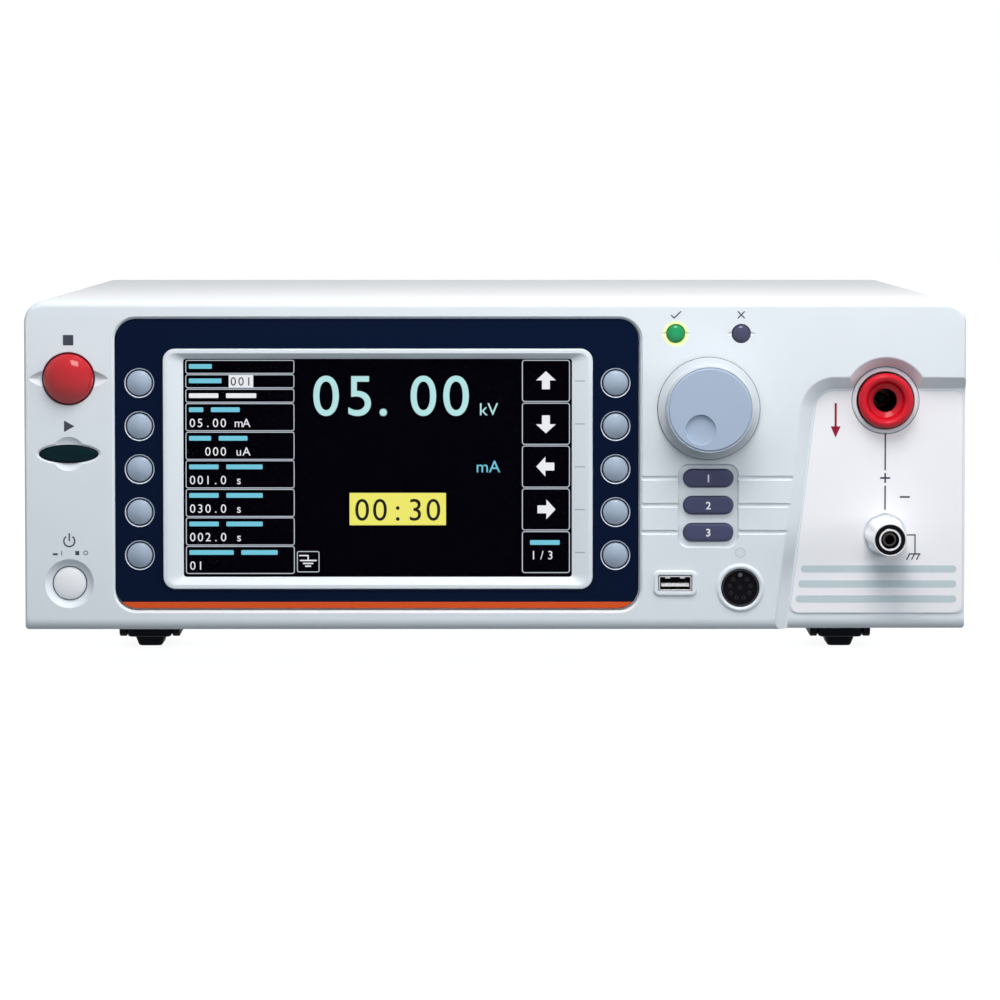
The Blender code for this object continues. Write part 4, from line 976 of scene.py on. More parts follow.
def build_bezel(display):
    """The dark panel round the screen, with its coloured band and the keys' pale bosses."""
    back = POCKET_DEPTH - 0.3
    outline = rounded(BEZEL, 8.5, 20)
    profile = path((0, back), (0, BEZEL_DEPTH, 0.3), (-1, BEZEL_DEPTH))
    plate = to_mesh("bezel_panel", on_front(swept(outline, profile)))
    openings = [prism(rounded(grown(SCREEN_FRAME, 0.15), 5.1), 0, 6)]
    for key in SOFTKEYS:
        x, z = middle_of("softkey_" + key)
        edge = [(0.3, BEZEL_DEPTH - 0.8), (0.26, BEZEL_DEPTH - 0.02), (0.08, BEZEL_DEPTH + 0.06)]
        openings.append(swept(circle(x, z, 6.02), [*edge, (0, BEZEL_DEPTH + 0.25), (0, 6)]))
    plate = carved(plate, ("DIFFERENCE", on_front(together(*openings))))
    finish = moulded("bezel lacquer", display.panel, 0.36, 0.12, 0.05, 0.04)
    band = (finish.axis("Z") < (BEZEL[1] * MM + display.band_height)) * 1.0
    finish.set("Base Color", finish.mixed(band, (*display.panel, 1), (*display.band, 1)))
    show("bezel_panel", plate, finish, "display_bezel")
    boss = path((5.58, 2.6), (5.58, 1.55, 0.05), (5.90, 1.0, 0.06), (5.98, 1.0, 0.02), (5.98, 2.6), steps=4)
    skirt = path((5.12, 2.6), (5.12, 2.0), (5.56, 2.0), (5.56, 2.6))
    places = [middle_of("softkey_" + key) for key in SOFTKEYS]
    bosses = [on_front(turned(boss, 96, ring=True), place) for place in places]
    show("softkey_bosses", together(*bosses), moulded("boss plastic", (0.74, 0.80, 0.90), 0.3, 0.05))
    skirts = [on_front(turned(skirt, 96, ring=True), place) for place in places]
    show("softkey_seats", together(*skirts), moulded("seat plastic", display.panel, 0.5, shine=0.04))


def build_screen(display, case):
    """The pale frame with its sloped reveals, and the marks on its right-hand slope."""

    def reveal(turn):
        """The slope's depth at this share of its width: a power of 1.15, so it starts flat."""
        return 0.2 + 2.45 * turn ** 1.15

    outline = rounded(SCREEN_FRAME, 5.0, 20)
    inner = rounded(PICTURE, 1.2, 20)
    middle = rounded(grown(SCREEN_FRAME, -1.7), 3.6, 20)
    edge = path((0, 0.75), (0, 0.2, 0.5), (-1.5, 0.2))
    sections = [(offset(outline, out), depth) for out, depth in edge]
    sections.append((middle, 0.2))
    for turn in np.linspace(0.04, 1, 8):
        sections.append((middle + (inner - middle) * turn, reveal(turn)))
    sections.append((inner, 3.0))
    frame_plastic = moulded("frame plastic", case.plastic, 0.36, 0.08)
    show("screen_surround", on_front(loft(sections, ring=True)), frame_plastic,
         "screen_frame", sharp=25)
    marks = []
    right = grown(SCREEN_FRAME, -1.7)[2]
    near, far = 32.2, 36.2
    rise = [reveal((right - x) / (right - PICTURE[2])) for x in (near, far)]
    depths = np.array([rise[0], rise[1], rise[1], rise[0]])
    for row in range(5):
        z = PICTURE[3] - 8.9 - SOFTKEY_PITCH * row
        corners = np.array([(near, z - 0.22), (far, z - 0.22), (far, z + 0.22), (near, z + 0.22)])
        low = np.column_stack([corners[:, 0], depths - 0.05, corners[:, 1]])
        high = np.column_stack([corners[:, 0], depths + 0.25, corners[:, 1]])
        marks.append(surface(np.stack([low, high])))
    show("screen_marks", on_front(together(*marks)), plain_ink("mark ink", (0.42, 0.46, 0.52)))
    unlit = Finish("unlit screen", display.dark, 0.5, Specular_IOR_Level=0.01)
    unlit.uneven(0.35, 0.03)
    frame["nodes"]["lcd_module"].material_slots[0].material = unlit.material
    glass = Finish("cover glass", (0.002, 0.002, 0.004), 0.03, Alpha=0.06, Specular_IOR_Level=0.05)
    glass.uneven(0.04, 0.01)
    frame["nodes"]["screen_glass"].material_slots[0].material = glass.material


def screen_rows():
    """The settings column at the left: the lower and upper edge of three low and six tall boxes."""
    heights = [5.83] * 3 + [11.56] * 6
    tops = PICTURE[3] - 0.4 - np.concatenate([[0], np.cumsum(heights)])
    return list(zip(tops[1:], tops[:-1]))


def spaced(text, height, pitch, x, z, depth):
    """Figures in cells of an equal width from x on, as such a screen sets them."""
    cells = [(x + pitch * (n + 0.5), figure) for n, figure in enumerate(text) if figure != " "]
    return together(*[lettered(figure, height, middle, z, depth) for middle, figure in cells])


def build_picture(display):
    """What the screen shows: boxes, bars, plain figures, arrows and a banner."""
    start, end = PICTURE_DEPTH - 0.02, PICTURE_DEPTH - 0.12
    left, right = PICTURE[0], PICTURE[2]
    text_left = left + 2.2
    lines, bars, figures = [], [], []

    def bar_row(z, x, *lengths):
        """Bars of these lengths from x on, with an equal space between two."""
        row = []
        for length in lengths:
            row.append(prism(rounded((x, z - 0.95, x + length, z + 0.95), 0.3, 3), start, end))
            x += length + 3.1
        return row

    # The lengths of each box's bars, from the top box down.
    limits, times = (8.9, 11.6), (11.9, 14.7)
    captions = ((9.3,), (13.2,), (), (5.8, 11.6), limits, times, times, times, (17.9, 14.7))
    values = ("", "001", "", "05.00 mA", "  000 uA", "001.0 s", "030.0 s", "002.0 s", "01")
    for (low, high), lengths, value in zip(screen_rows(), captions, values):
        lines.append(hollow_box((left + 0.8, low + 0.12, left + 44.8, high - 0.12), 0.34, 1.0, start, end))
        bars += bar_row(high - 2.75, text_left, *lengths)
        if high - low > 8:
            figures.append(spaced(value, 3.55, 3.12, text_left - 0.2, low + 1.8, start))
    low, high = screen_rows()[2]
    name = bar_row(high - 2.9, text_left, 11.9, 12.2)
    low, high = screen_rows()[1]
    highlight = prism(rounded((left + 18.3, low + 0.4, left + 28.2, high - 0.4), 0.1, 2), start, end)
    field = spaced(values[1], 3.5, 3.12, left + 18.6, low + 1.2, end - 0.03)
    icon = hollow_box((left + 45.7, PICTURE[1] + 1.7, left + 54.8, PICTURE[1] + 10.3), 0.34, 0.8, start, end)
    x, z = left + 50.2, PICTURE[1] + 6.5
    earth = [
        line(x - 3.6, z + 2.0, x, z + 2.0, 0.5, start, end),
        line(x, z + 2.2, x, z, 0.5, start - 0.005, end - 0.005),
        line(x - 3.3, z, x + 3.5, z, 0.55, start, end),
        line(x - 2.1, z - 1.2, x + 2.1, z - 1.2, 0.55, start, end),
        line(x - 1.2, z - 2.3, x + 1.2, z - 2.3, 0.55, start, end),
    ]
    box_right, box_left = right - 0.8, right - 20.2
    arrows = []
    for row, turn in enumerate((0, 180, 90, 270, None)):
        high = PICTURE[3] - 0.4 - SOFTKEY_PITCH * row
        lines.append(hollow_box((box_left, high - 17.1, box_right, high - 0.1), 0.36, 1.2, start, end))
        if turn is not None:
            arrow = together(
                prism(np.array([(-4.0, 0.2), (4.0, 0.2), (0, 3.9)]), start, end),
                prism(rounded((-1.6, -3.4, 1.6, 0.3), 0.05, 2), start + 0.005, end + 0.005),
            )
            arrows.append(moved(spun(arrow, -turn), (box_left + box_right) / 2, 0, high - 8.6))
    low = high - 17.1
    bars += bar_row(low + 12.4, box_left + 3.3, 12.0)
    figures.append(spaced("1/3", 3.55, 3.4, box_left + 3.0, low + 5.6, start))
    white = lit("screen white", display.figure, 0.95)
    show("picture_lines", on_front(together(*lines, icon)), lit("screen lines", (0.58, 0.64, 0.72), 0.9))
    show("picture_bars", on_front(together(*bars)), lit("screen captions", display.caption, 0.9))
    show("picture_figures", on_front(together(*figures, *name)), white)
    show("picture_arrows", on_front(together(*arrows, *earth)), white)
    show("picture_field", on_front(highlight), white)
    foot = 101.5
    places = ((-68.3, "0"), (-54.6, "5"), (-45.2, "."), (-29.0, "0"), (-15.8, "0"))
    digits = [lettered(figure, 16.7, x, foot, start, bold=0.12) for x, figure in places]
    unit = lettered("kV", 5.2, -2.7, foot, start)
    show("picture_reading", on_front(together(*digits, unit)), lit("screen reading", display.reading, 0.95))
    show("picture_unit", on_front(lettered("mA", 5.0, -2.9, 78.4, start)),
         lit("screen unit", display.caption, 0.9))
    banner = prism(rounded((-58.9, 57.0, -19.9, 70.1), 0.1, 2), start, end)
    show("picture_banner", on_front(banner), lit("screen banner", display.banner, 0.95))
    count = spaced("00:30", 9.2, 7.2, -57.4, 58.9, end - 0.03)
    dark = plain_ink("screen dark figures", (0.01, 0.01, 0.01))
    show("picture_dark_figures", on_front(together(field, count)), dark)


def build_softkeys(controls):
    """Ten round caps: a shallow bowed crown, a rounded rim and a straight side."""
    finish = moulded("softkey plastic", controls.key, 0.30, 0.12, 0.03)
    crown = bowed(4.5, -0.45, 1.25, 4.3)
    rim = path((4.3, 0.69), (4.75, 0.93, 0.3), (5.0, 1.4, 0.3), (5.0, WALL_DEPTH - 0.1), steps=6)
    profile = np.vstack([crown, rim[1:], [(0, WALL_DEPTH - 0.1)]])
    for key in SOFTKEYS:
        node = "softkey_" + key
        cap = on_front(turned(profile, 96), middle_of(node))
        show("keycap_" + key, cap, finish, node, body=node, sharp=45)


def build_function_keys(controls):
    """Three long keys with round ends and a soft edge, numbered from the top."""
    finish = moulded("function key plastic", controls.slate, 0.35, 0.12, 0.04, 0.25)
    ink = plain_ink("key figure ink", (0.88, 0.89, 0.93))
    outline = centred(0, 0, 19.9, 7.0, 3.49, 20)
    edge = path((0, WALL_DEPTH - 0.3), (0, -0.5, 0.9), (-1.6, -0.68), steps=8)
    sections = [(offset(outline, out), depth) for out, depth in edge]
    sections += [(offset(outline, -1.6) * share, -0.70) for share in (0.7, 0.35, 0.01)]
    for number, place in enumerate(FUNCTIONS, 1):
        node = f"function_key_{number}"
        show(f"longkey_{number}", on_front(loft(sections), place), finish, node, body=node)
        figure = lettered(str(number), 3.1, 0, -1.55, -0.70, 0.08, bold=0.09)
        show(f"longkey_figure_{number}", on_front(figure, place), ink, body=node)


def build_buttons(controls, case):
    """The stop dome, the start oval and the power cap."""
    red = polished("stop button plastic", controls.stop, 0.12, 0.5, 0.15)
    dome = np.vstack([domed(10.2, 1.0, 6.6, math.pi / 2, 28), [(10.2, WALL_DEPTH), (0, WALL_DEPTH)]])
    show("stop_dome", on_front(turned(dome, 128), STOP), red, "stop_button",
         body="stop_button", sharp=60)
    ring = path((10.25, 3.5), (10.25, 0.5, 0.2), (10.65, 0.5, 0.2), (10.65, 3.5), steps=4)
    show("stop_ring", on_front(turned(ring, 128, ring=True), STOP),
         moulded("ring plastic", (0.05, 0.05, 0.07), 0.4, shine=0.1))
    teal = polished("start button plastic", controls.start, 0.25, 0.0, 0.08)
    oval = ellipse(0, 0, 11.6, 3.2, 160)
    edge = path((0, 0.9), (0, 0.2, 0.3), (0.7, 0.05, 0.3), (1.7, 0.03), steps=6)
    bulge = [(oval, WALL_DEPTH)] + [(offset(oval, -inset), level) for inset, level in edge]
    bulge += [(offset(oval, -1.7) * share, 0.03 - 0.15 * (1 - share)) for share in (0.7, 0.4, 0.02)]
    show("start_oval", on_front(loft(bulge), START), teal, "start_button",
         body="start_button", sharp=50)
    steps = ((11.65, 3.25, 4), (11.65, 3.25, 0.55), (11.85, 3.45, 0.4), (12.06, 3.66, 0.55),
             (12.06, 3.66, 4))
    rim = [(ellipse(0, 0, width, height, 160), level) for width, height, level in steps]
    show("start_ring", on_front(loft(rim, ring=True), START),
         moulded("start ring plastic", (0.006, 0.007, 0.010), 0.4, shine=0.1))
    white = moulded("power button plastic", case.plate, 0.24, 0.04, Coat_Weight=0.3)
    side = path((6.2, 1.85), (6.6, 2.4, 0.4), (6.6, 8), steps=5)[1:]
    cap = np.vstack([domed(6.1, 2.0, 1.1, 1.35, 16), side, [(6.6, 10.9), (0, 10.9)]])
    show("power_cap", on_front(turned(cap, 96), POWER), white, "power_button",
         body="power_button", sharp=50)


def build_lamps(controls):
    """Domed lenses, one lit and one dark: the glow fades by the distance squared from its core."""
    radius = 3.6
    stem = [(radius, 4.0), (2.6, 4.0), (2.6, 13.0), (0, 13.0)]
    lens = turned(np.vstack([domed(radius, 0.6, 1.7, math.pi / 2, 16), stem]), 72)
    green = polished("lit lens", controls.lit, 0.10, 0.3)
    x = (green.axis("X") - PASS_LAMP[0] * MM) / (radius * MM)
    z = (green.axis("Z") - (PASS_LAMP[1] + 0.5) * MM) / (radius * MM)
    core = ((x * x + z * z) * -1.6).exponential()
    glow = green.mixed(core, (0.0, 0.08, 0.025, 1), (0.0, 0.36, 0.12, 1))
    green.set("Emission Color", glow)
    green.set("Emission Strength", 0.4)
    show("pass_lens", on_front(lens, PASS_LAMP), green, "pass_lamp", sharp=60)
    show("fail_lens", on_front(lens, FAIL_LAMP), polished("dark lens", controls.unlit, 0.16, 0.4),
         "fail_lamp", sharp=60)


def build_knob(controls):
    """The knob, a turned profile: flat face, steep wall and flared skirt, less a bowed dimple."""
    face = -14.6
    outside = path((0, face), (16.3, face, 0.4), (16.55, face + 0.6, 0.1), (16.85, face + 0.6, 0.1),
                   (17.15, face + 0.2, 0.1), (17.4, face + 3.4, 3.0), (17.6, -2.7, 0.9),
                   (20.5, -1.5, 0.4), (20.8, -0.55, 0.1), steps=8)
    inside = [(19.6, -0.55), (15.6, -0.9), (15.6, face + 3), (0, face + 3)]
    shell = to_mesh("knob_shell", on_front(turned(np.vstack([outside, inside]), 192), KNOB))
    radius = controls.dimple / MM
    bowl = bowed(radius, face + 1.45, -0.35, radius - 0.25)
    mouth = [(radius, face), (radius + 0.3, face - 0.6), (0, face - 0.6)]
    bowl = turned(np.vstack([bowl, mouth]), 96)
    dimple = on_front(bowl, (KNOB[0] - 3.75, KNOB[1] - 8.0))
    shell = carved(shell, ("DIFFERENCE", dimple))
    finish = moulded("knob plastic", controls.knob, 0.26, 0.06, 0.02, 0.05)
    x = finish.axis("X") - KNOB[0] * MM
    z = finish.axis("Z") - KNOB[1] * MM
    square = x * x + z * z
    # Past 16.9 mm the knob's own plastic is drawn lighter: painted light on the skirt's lit side.
    side = finish.mixed(square > (16.9 * MM) ** 2, finish.shade, (*controls.skirt, 1))
    # Past 20.5 mm the rim is painted dark: a painted shadow of the gap between the skirt and the panel.
    rim = [0.35 * c for c in controls.skirt] + [1.0]
    finish.set("Base Color", finish.mixed(square > (20.5 * MM) ** 2, side, rim))
    show("knob_shell", shell, finish, "knob", body="knob", sharp=30)


def build_usb(sockets):
    """The plated USB shell, its white tongue and four contacts."""
    metal = plated("usb plating", sockets.metal, 0.18)
    shell = path((0, 12.0), (0, -0.2, 0.1), (-0.4, -0.2, 0.1), (-0.4, 9.0), steps=3)
    tube = together(
        swept(centred(0, 0, 13.1, 5.9, 0.7), shell, ring=True),
        prism(centred(0, 0, 12.0, 4.8, 0.4), 9.0, 9.4),
    )
    show("usb_shell", on_front(tube, USB), metal, "usb_port")
    tongue = prism(rounded((-5.6, -1.35, 5.6, -0.15), 0.15, 4), 0.4, 9.0)
    show("usb_tongue", on_front(tongue, USB), moulded("tongue plastic", (0.80, 0.80, 0.78), 0.4))
    pads = [block((x - 0.5, 0.7, -0.15), (x + 0.5, 8.6, 0.02)) for x in (-3.5, -1.0, 1.0, 3.5)]
    springs = [block((x - 1.0, 1.2, 1.9), (x + 1.0, 6.0, 2.3)) for x in (-3.0, 3.0)]
    show("usb_contacts", on_front(together(*pads, *springs), USB), metal)
    liner = prism(centred(0, 0, 12.1, 4.9, 0.4), 8.6, 8.95)
    show("usb_liner", on_front(liner, USB), moulded("liner plastic", sockets.black, 0.6, shine=0.1))


def build_remote(sockets):
    """The round remote socket: a black face with its key and a ring of pin holes."""
    face = path((0, 1.3), (6.7, 1.3, 0.2), (6.9, 0.55, 0.2), (7.65, 0.55, 0.2), (7.65, 9), (0, 9), steps=4)
    body = to_mesh("remote_face", on_front(turned(face, 96), REMOTE))
    x, z = REMOTE
    pins = [(x, z)] + [tuple(p) for p in arc(x, z, 4.3, 130, 410, 7)]
    holes = [prism(circle(px, pz, 0.75, 24), 0, 4.5) for px, pz in pins]
    body = carved(body, ("DIFFERENCE", on_front(together(*holes))))
    show("remote_face", body, moulded("socket plastic", sockets.black, 0.3, 0.1, 0.1, 0.03),
         "remote_socket")
    shell = path((6.95, 5), (6.95, 0.3, 0.12), (7.5, 0.3, 0.12), (7.5, 5), steps=4)
    sleeves = [annulus(px, pz, 0.72, 0.48, 1.75, 3.5, 24) for px, pz in pins]
    metal = together(turned(shell, 96, ring=True), moved(together(*sleeves), -x, 0, -z))
    show("remote_contacts", on_front(metal, REMOTE), plated("remote plating", (0.045, 0.046, 0.055), 0.3))
    key = moved(turned(path((0, 0.9), (0.95, 0.95, 0.3), (1.0, 2.5), (0, 2.5)), 32), 0, 0, 5.2)
    show("remote_key", on_front(key, REMOTE), moulded("key bump plastic", (0.10, 0.10, 0.11), 0.3))


def build_outputs(sockets, case):
    """The high-voltage socket, and the return terminal's sleeve, insulator and contacts."""
    red = polished("high-voltage plastic", sockets.red, 0.18, 0.15, 0.12)
    ring = path((0, 43), (4.75, 43), (4.75, 6.0, 0.3), (7.0, 4.6, 0.6), (7.7, 0.6, 0.7), (9.3, -0.95, 1.3),
                (11.0, 0.6, 0.8), (11.15, 12), (11.15, 44), (0, 44), steps=8)
    show("hv_insulator", on_front(turned(ring, 160), HV), red, "hv_socket")
    bore = path((4.4, 42.9), (4.4, 6.25, 0.1), (4.73, 6.25, 0.1), (4.73, 42.9), steps=3)
    show("hv_bore", on_front(turned(bore, 96, ring=True), HV),
         moulded("bore liner plastic", sockets.black, 0.5, shine=0.05))
    metal = plated("contact plating", sockets.metal, 0.2)
    pin = path((0, 24.2), (1.6, 24.5, 0.8), (2.0, 26.5), (2.0, 50), (0, 50), steps=6)
    # The pin's near-black colour is painted shade, standing for the darkness deep in the bore.
    pin_in_painted_shade = moulded("contact in painted shade", (0.03, 0.025, 0.02), 0.5, shine=0.2)
    show("hv_pin", on_front(turned(pin, 48), HV), pin_in_painted_shade, "hv_contact")
    tip = edges_of("return_collar")[0][1] - FRONT
    angles = np.linspace(0, math.tau, 192, endpoint=False)

    def fluted(radius, depth):
        """Radius less a flute: depth times half of one minus the cosine of eight turns."""
        reach = radius - depth * (0.5 - 0.5 * np.cos(8 * angles)) ** 1.5
        return np.column_stack([reach * np.cos(angles), reach * np.sin(angles)])

    floor = case.recess / MM - 0.3
    outside = [(8.3, 0.6, floor), (8.05, 0.75, -1.0), (7.6, 0.6, -8.0), (7.05, 0.4, -16.0),
               (6.85, 0.15, tip + 2.5), (6.75, 0.0, tip + 0.9), (6.6, 0.0, tip + 0.35),
               (6.35, 0.0, tip + 0.05), (6.2, 0.0, tip + 0.1), (6.05, 0.0, tip + 0.4),
               (6.05, 0.0, floor)]
    sleeve = loft([(fluted(radius, depth), level) for radius, depth, level in outside], ring=True)
    white = polished("sleeve plastic", (0.90, 0.91, 0.93), 0.25, 0.3)
    show("return_sleeve", on_front(sleeve, RETURN), white, "return_collar", sharp=40)
    tube = path((4.6, 20), (4.6, tip + 0.5, 0.25), (5.95, tip + 0.5, 0.25), (5.95, 20), steps=5)
    black = moulded("insulator plastic", sockets.black, 0.25, 0.05, 0.05, 0.03)
    show("return_tube", on_front(turned(tube, 96, ring=True), RETURN), black,
         "return_insulator")
    sleeve_ring = path((3.6, 10), (3.6, tip + 0.25, 0.15), (4.4, tip + 0.25, 0.15), (4.4, 10), steps=4)
    show("return_tube_metal", on_front(turned(sleeve_ring, 96, ring=True), RETURN), metal,
         "return_contact")
    # The core's near-black plating is painted shade, standing for the darkness inside the terminal.
    core = path((1.9, 10), (1.9, tip + 3.6, 0.15), (2.8, tip + 3.6, 0.15), (2.8, 10), steps=4)
    plug = prism(circle(0, 0, 4.0, 48), 9.5, 12)
    show("return_core", on_front(together(turned(core, 96, ring=True), plug), RETURN),
         plated("core plating in painted shade", (0.06, 0.055, 0.05), 0.3))


def cover_outline(thick, radius=8.5):
    """An inverted U of sheet seen from the front, with rounded upper corners."""
    half, low, high = HALF_WIDTH - 0.5, BOTTOM + 1, TOP
    inner = radius - thick
    return np.vstack([
        arc(half - radius, high - radius, radius, 0, 90, 14),
        arc(radius - half, high - radius, radius, 90, 180, 14),
        [(-half, low), (thick - half, low)],
        arc(radius - half, high - radius, inner, 180, 90, 14),
        arc(half - radius, high - radius, inner, 90, 0, 14),
        [(half - thick, low), (half, low)],
    ])


def screw(radius=2.9, head=1.5):
    """A pan-head screw with a cross slot, towards -Y: its height is the cosine to the power of 0.8."""
    turn = np.linspace(0, 1.5, 8)
    dome = np.column_stack([radius * np.sin(turn), -head * np.cos(turn) ** 0.8])
    body = to_mesh("screw", turned(np.vstack([dome, [(radius, 0.2), (0, 0.2)]]), 40))
    level = block((-1.6, -3, -0.35), (1.6, -head * 0.45, 0.35))
    upright = block((-0.35, -3, -1.6), (0.35, -head * 0.44, 1.6))
    return carved(body, ("DIFFERENCE", level), ("DIFFERENCE", upright))


def copies(mesh, places, turn=0.0, axis="Z"):
    """The mesh's shape, turned and then repeated at each (x, y, z)."""
    points = np.empty(len(mesh.vertices) * 3)
    mesh.vertices.foreach_get("co", points)
    shape = (points.reshape(-1, 3) / MM, [list(polygon.vertices) for polygon in mesh.polygons])
    return together(*[moved(spun(shape, turn, axis), *place) for place in places])


def build_cover(case):
    """The painted cover with its side vents and screws."""
    start = FRONT + FASCIA_DEPTH + 0.3
    cover = prism(cover_outline(1.2), start, BACK)
    body = to_mesh("cover_shell", cover)
    width = case.slot / MM
    vents = []
    for side in (-HALF_WIDTH, HALF_WIDTH):
        for column in range(9):
            slot = centred(-152 + 11 * column, 78, width, 60, width / 2 - 0.01, 10)
            vents.append(prism(slot, side - 5, side + 5, from_side))
    body = carved(body, ("DIFFERENCE", together(*vents)))
    paint = painted("cover paint", case.paint)
    show("cover_shell", body, paint, "top_cover", sharp=30)
    head = screw()
    rows = (-150, 20, 190)
    right = copies(head, [(HALF_WIDTH - 0.7, y, 30) for y in rows], 90)
    left = copies(head, [(0.7 - HALF_WIDTH, y, 30) for y in rows], -90)
    show("cover_screws", together(right, left), plated("screw plating", (0.30, 0.30, 0.31), 0.3))


def build_tray(case):
    """The lower half of the case, with floor vents."""
    half, high, floor = HALF_WIDTH - 2.1, 62.0, BOTTOM + 1.2
    outline = np.array([
        (-half, high), (-half, BOTTOM), (half, BOTTOM), (half, high),
        (half - 1.2, high), (half - 1.2, floor), (1.2 - half, floor), (1.2 - half, high),
    ])
    body = to_mesh("tray_shell", prism(outline, FRONT + FASCIA_DEPTH + 0.3, BACK))
    slots = [centred(x, -60, 5.0, 60, 2.49) for x in range(-50, 51, 20)]
    vents = [prism(slot, BOTTOM - 2, BOTTOM + 4, from_above) for slot in slots]
    window = centred(-110, 53.5, 98, 24, 3)
    windows = [prism(window, side - 6, side + 6, from_side) for side in (-half, half)]
    body = carved(body, ("DIFFERENCE", together(*vents)), ("DIFFERENCE", together(*windows)))
    steel = plated("tray plating", case.steel, 0.38, (1, 0.05, 1), 300.0)
    show("tray_shell", body, steel, "base_tray")


def foot_sections(half_width, length, pad):
    """A block under the case that narrows to the pad it stands on, with softened edges."""
    sections = []
    for inset, level in ((0.6, 0), (0.0, 0.5), (-1.4, pad)):
        box = (-5.0 + inset, 8 + inset, 5.0 - inset, length - 6 - inset)
        sections.append((rounded(box, 1.6, 8), level))
    for inset, level in ((1.0, pad), (0.3, pad + 0.3), (0.0, pad + 1.0), (0.0, BOTTOM - 0.3)):
        box = (-half_width + inset, inset, half_width - inset, length - inset)
        sections.append((rounded(box, 2.5 - inset, 8), level))
    return sections


def build_feet(case):
    """Four rubber feet, the front ones with a folding leg each."""
    rubber = moulded("foot rubber", case.rubber, 0.55, 0.4, 0.1, 0.06)
    half_widths = {"front": 9.2, "rear": 12.7}
    for end, half_width in half_widths.items():
        for side in ("left", "right"):
            node = f"foot_{end}_{side}"
            low, high = edges_of(node)
            foot = loft(foot_sections(half_width, high[1] - low[1], 4.3), from_above)
            foot = moved(foot, (low[0] + high[0]) / 2, low[1], 0)
            show("rubber_" + node, foot, rubber, node)
    for side, x in (("left", -145.4), ("right", 145.4)):
        node = "tilt_leg_" + side
        low, high = edges_of(node)
        pivot = (low[1] + 3.7, 8.0)
        half = (high[0] - low[0]) / 2
        tip = [(35.0, -3.1), (35.5, -2.6), (35.5, 2.6), (35.0, 3.1)]
        arm = np.vstack([arc(0, 0, 3.7, 90, 270, 20), tip])
        edge = [(-0.4, 0), (0, 0.4), (0, 2.75), (-0.4, 3.15)]
        arms = [moved(swept(arm, edge, from_side), start, 0, 0) for start in (-half, half - 3.15)]
        bar = prism(centred(34.5, 0.2, 4.0, 7.0, 1.2, 6), -half + 0.05, half - 0.05, from_side)
        pin = prism(circle(0, 0, 2.0, 32), -half + 1, half - 1, from_side)
        leg = together(*arms, bar, pin)
        show("tilt_stand_" + side, moved(leg, x, *pivot), rubber, node, body=node)


def build_rear():
    """The rear sheet with its openings, and its screws."""
    half = HALF_WIDTH - 3.7
    outline = rounded((-half, BOTTOM + 1.6, half, TOP - 1.6), (1.0, 1.0, 7.0, 7.0))
    sheet = to_mesh("rear_sheet", prism(outline, REAR - 1.5, REAR))
    openings = [
        circle(*FAN, 37.8, 128),
        centred(*INLET, 30.8, 31.8, 1.0),
        centred(*SERIAL, 19.8, 10.8, 1.0),
        centred(*SIGNAL, 41.4, 10.8, 1.0),
        circle(*GROUND, 3.0, 32),
    ]
    openings += [centred(-30 + 10 * column, 110, 4.4, 40, 2.19) for column in range(13)]
    cutters = together(*[prism(opening, REAR - 3, REAR + 2) for opening in openings])
    steel = plated("rear plating", (0.50, 0.51, 0.53), 0.42, (0.05, 1, 1), 260.0)
    show("rear_sheet", carved(sheet, ("DIFFERENCE", cutters)), steel, "rear_panel")
    corners = (-FAN_BOLT, FAN_BOLT)
    places = [(FAN[0] + x, REAR + 2.0, FAN[1] + z) for x in corners for z in corners]
    places += [(x, REAR + 0.1, z) for x in (-180, 180) for z in (24, 80, 136)]
    places += [(INLET[0] + x, REAR + 3.4, INLET[1]) for x in (-20, 20)]
    bolts = copies(screw(2.6, 1.3), places, 180)
    show("rear_screws", bolts, plated("rear screw plating", (0.35, 0.35, 0.36), 0.28))


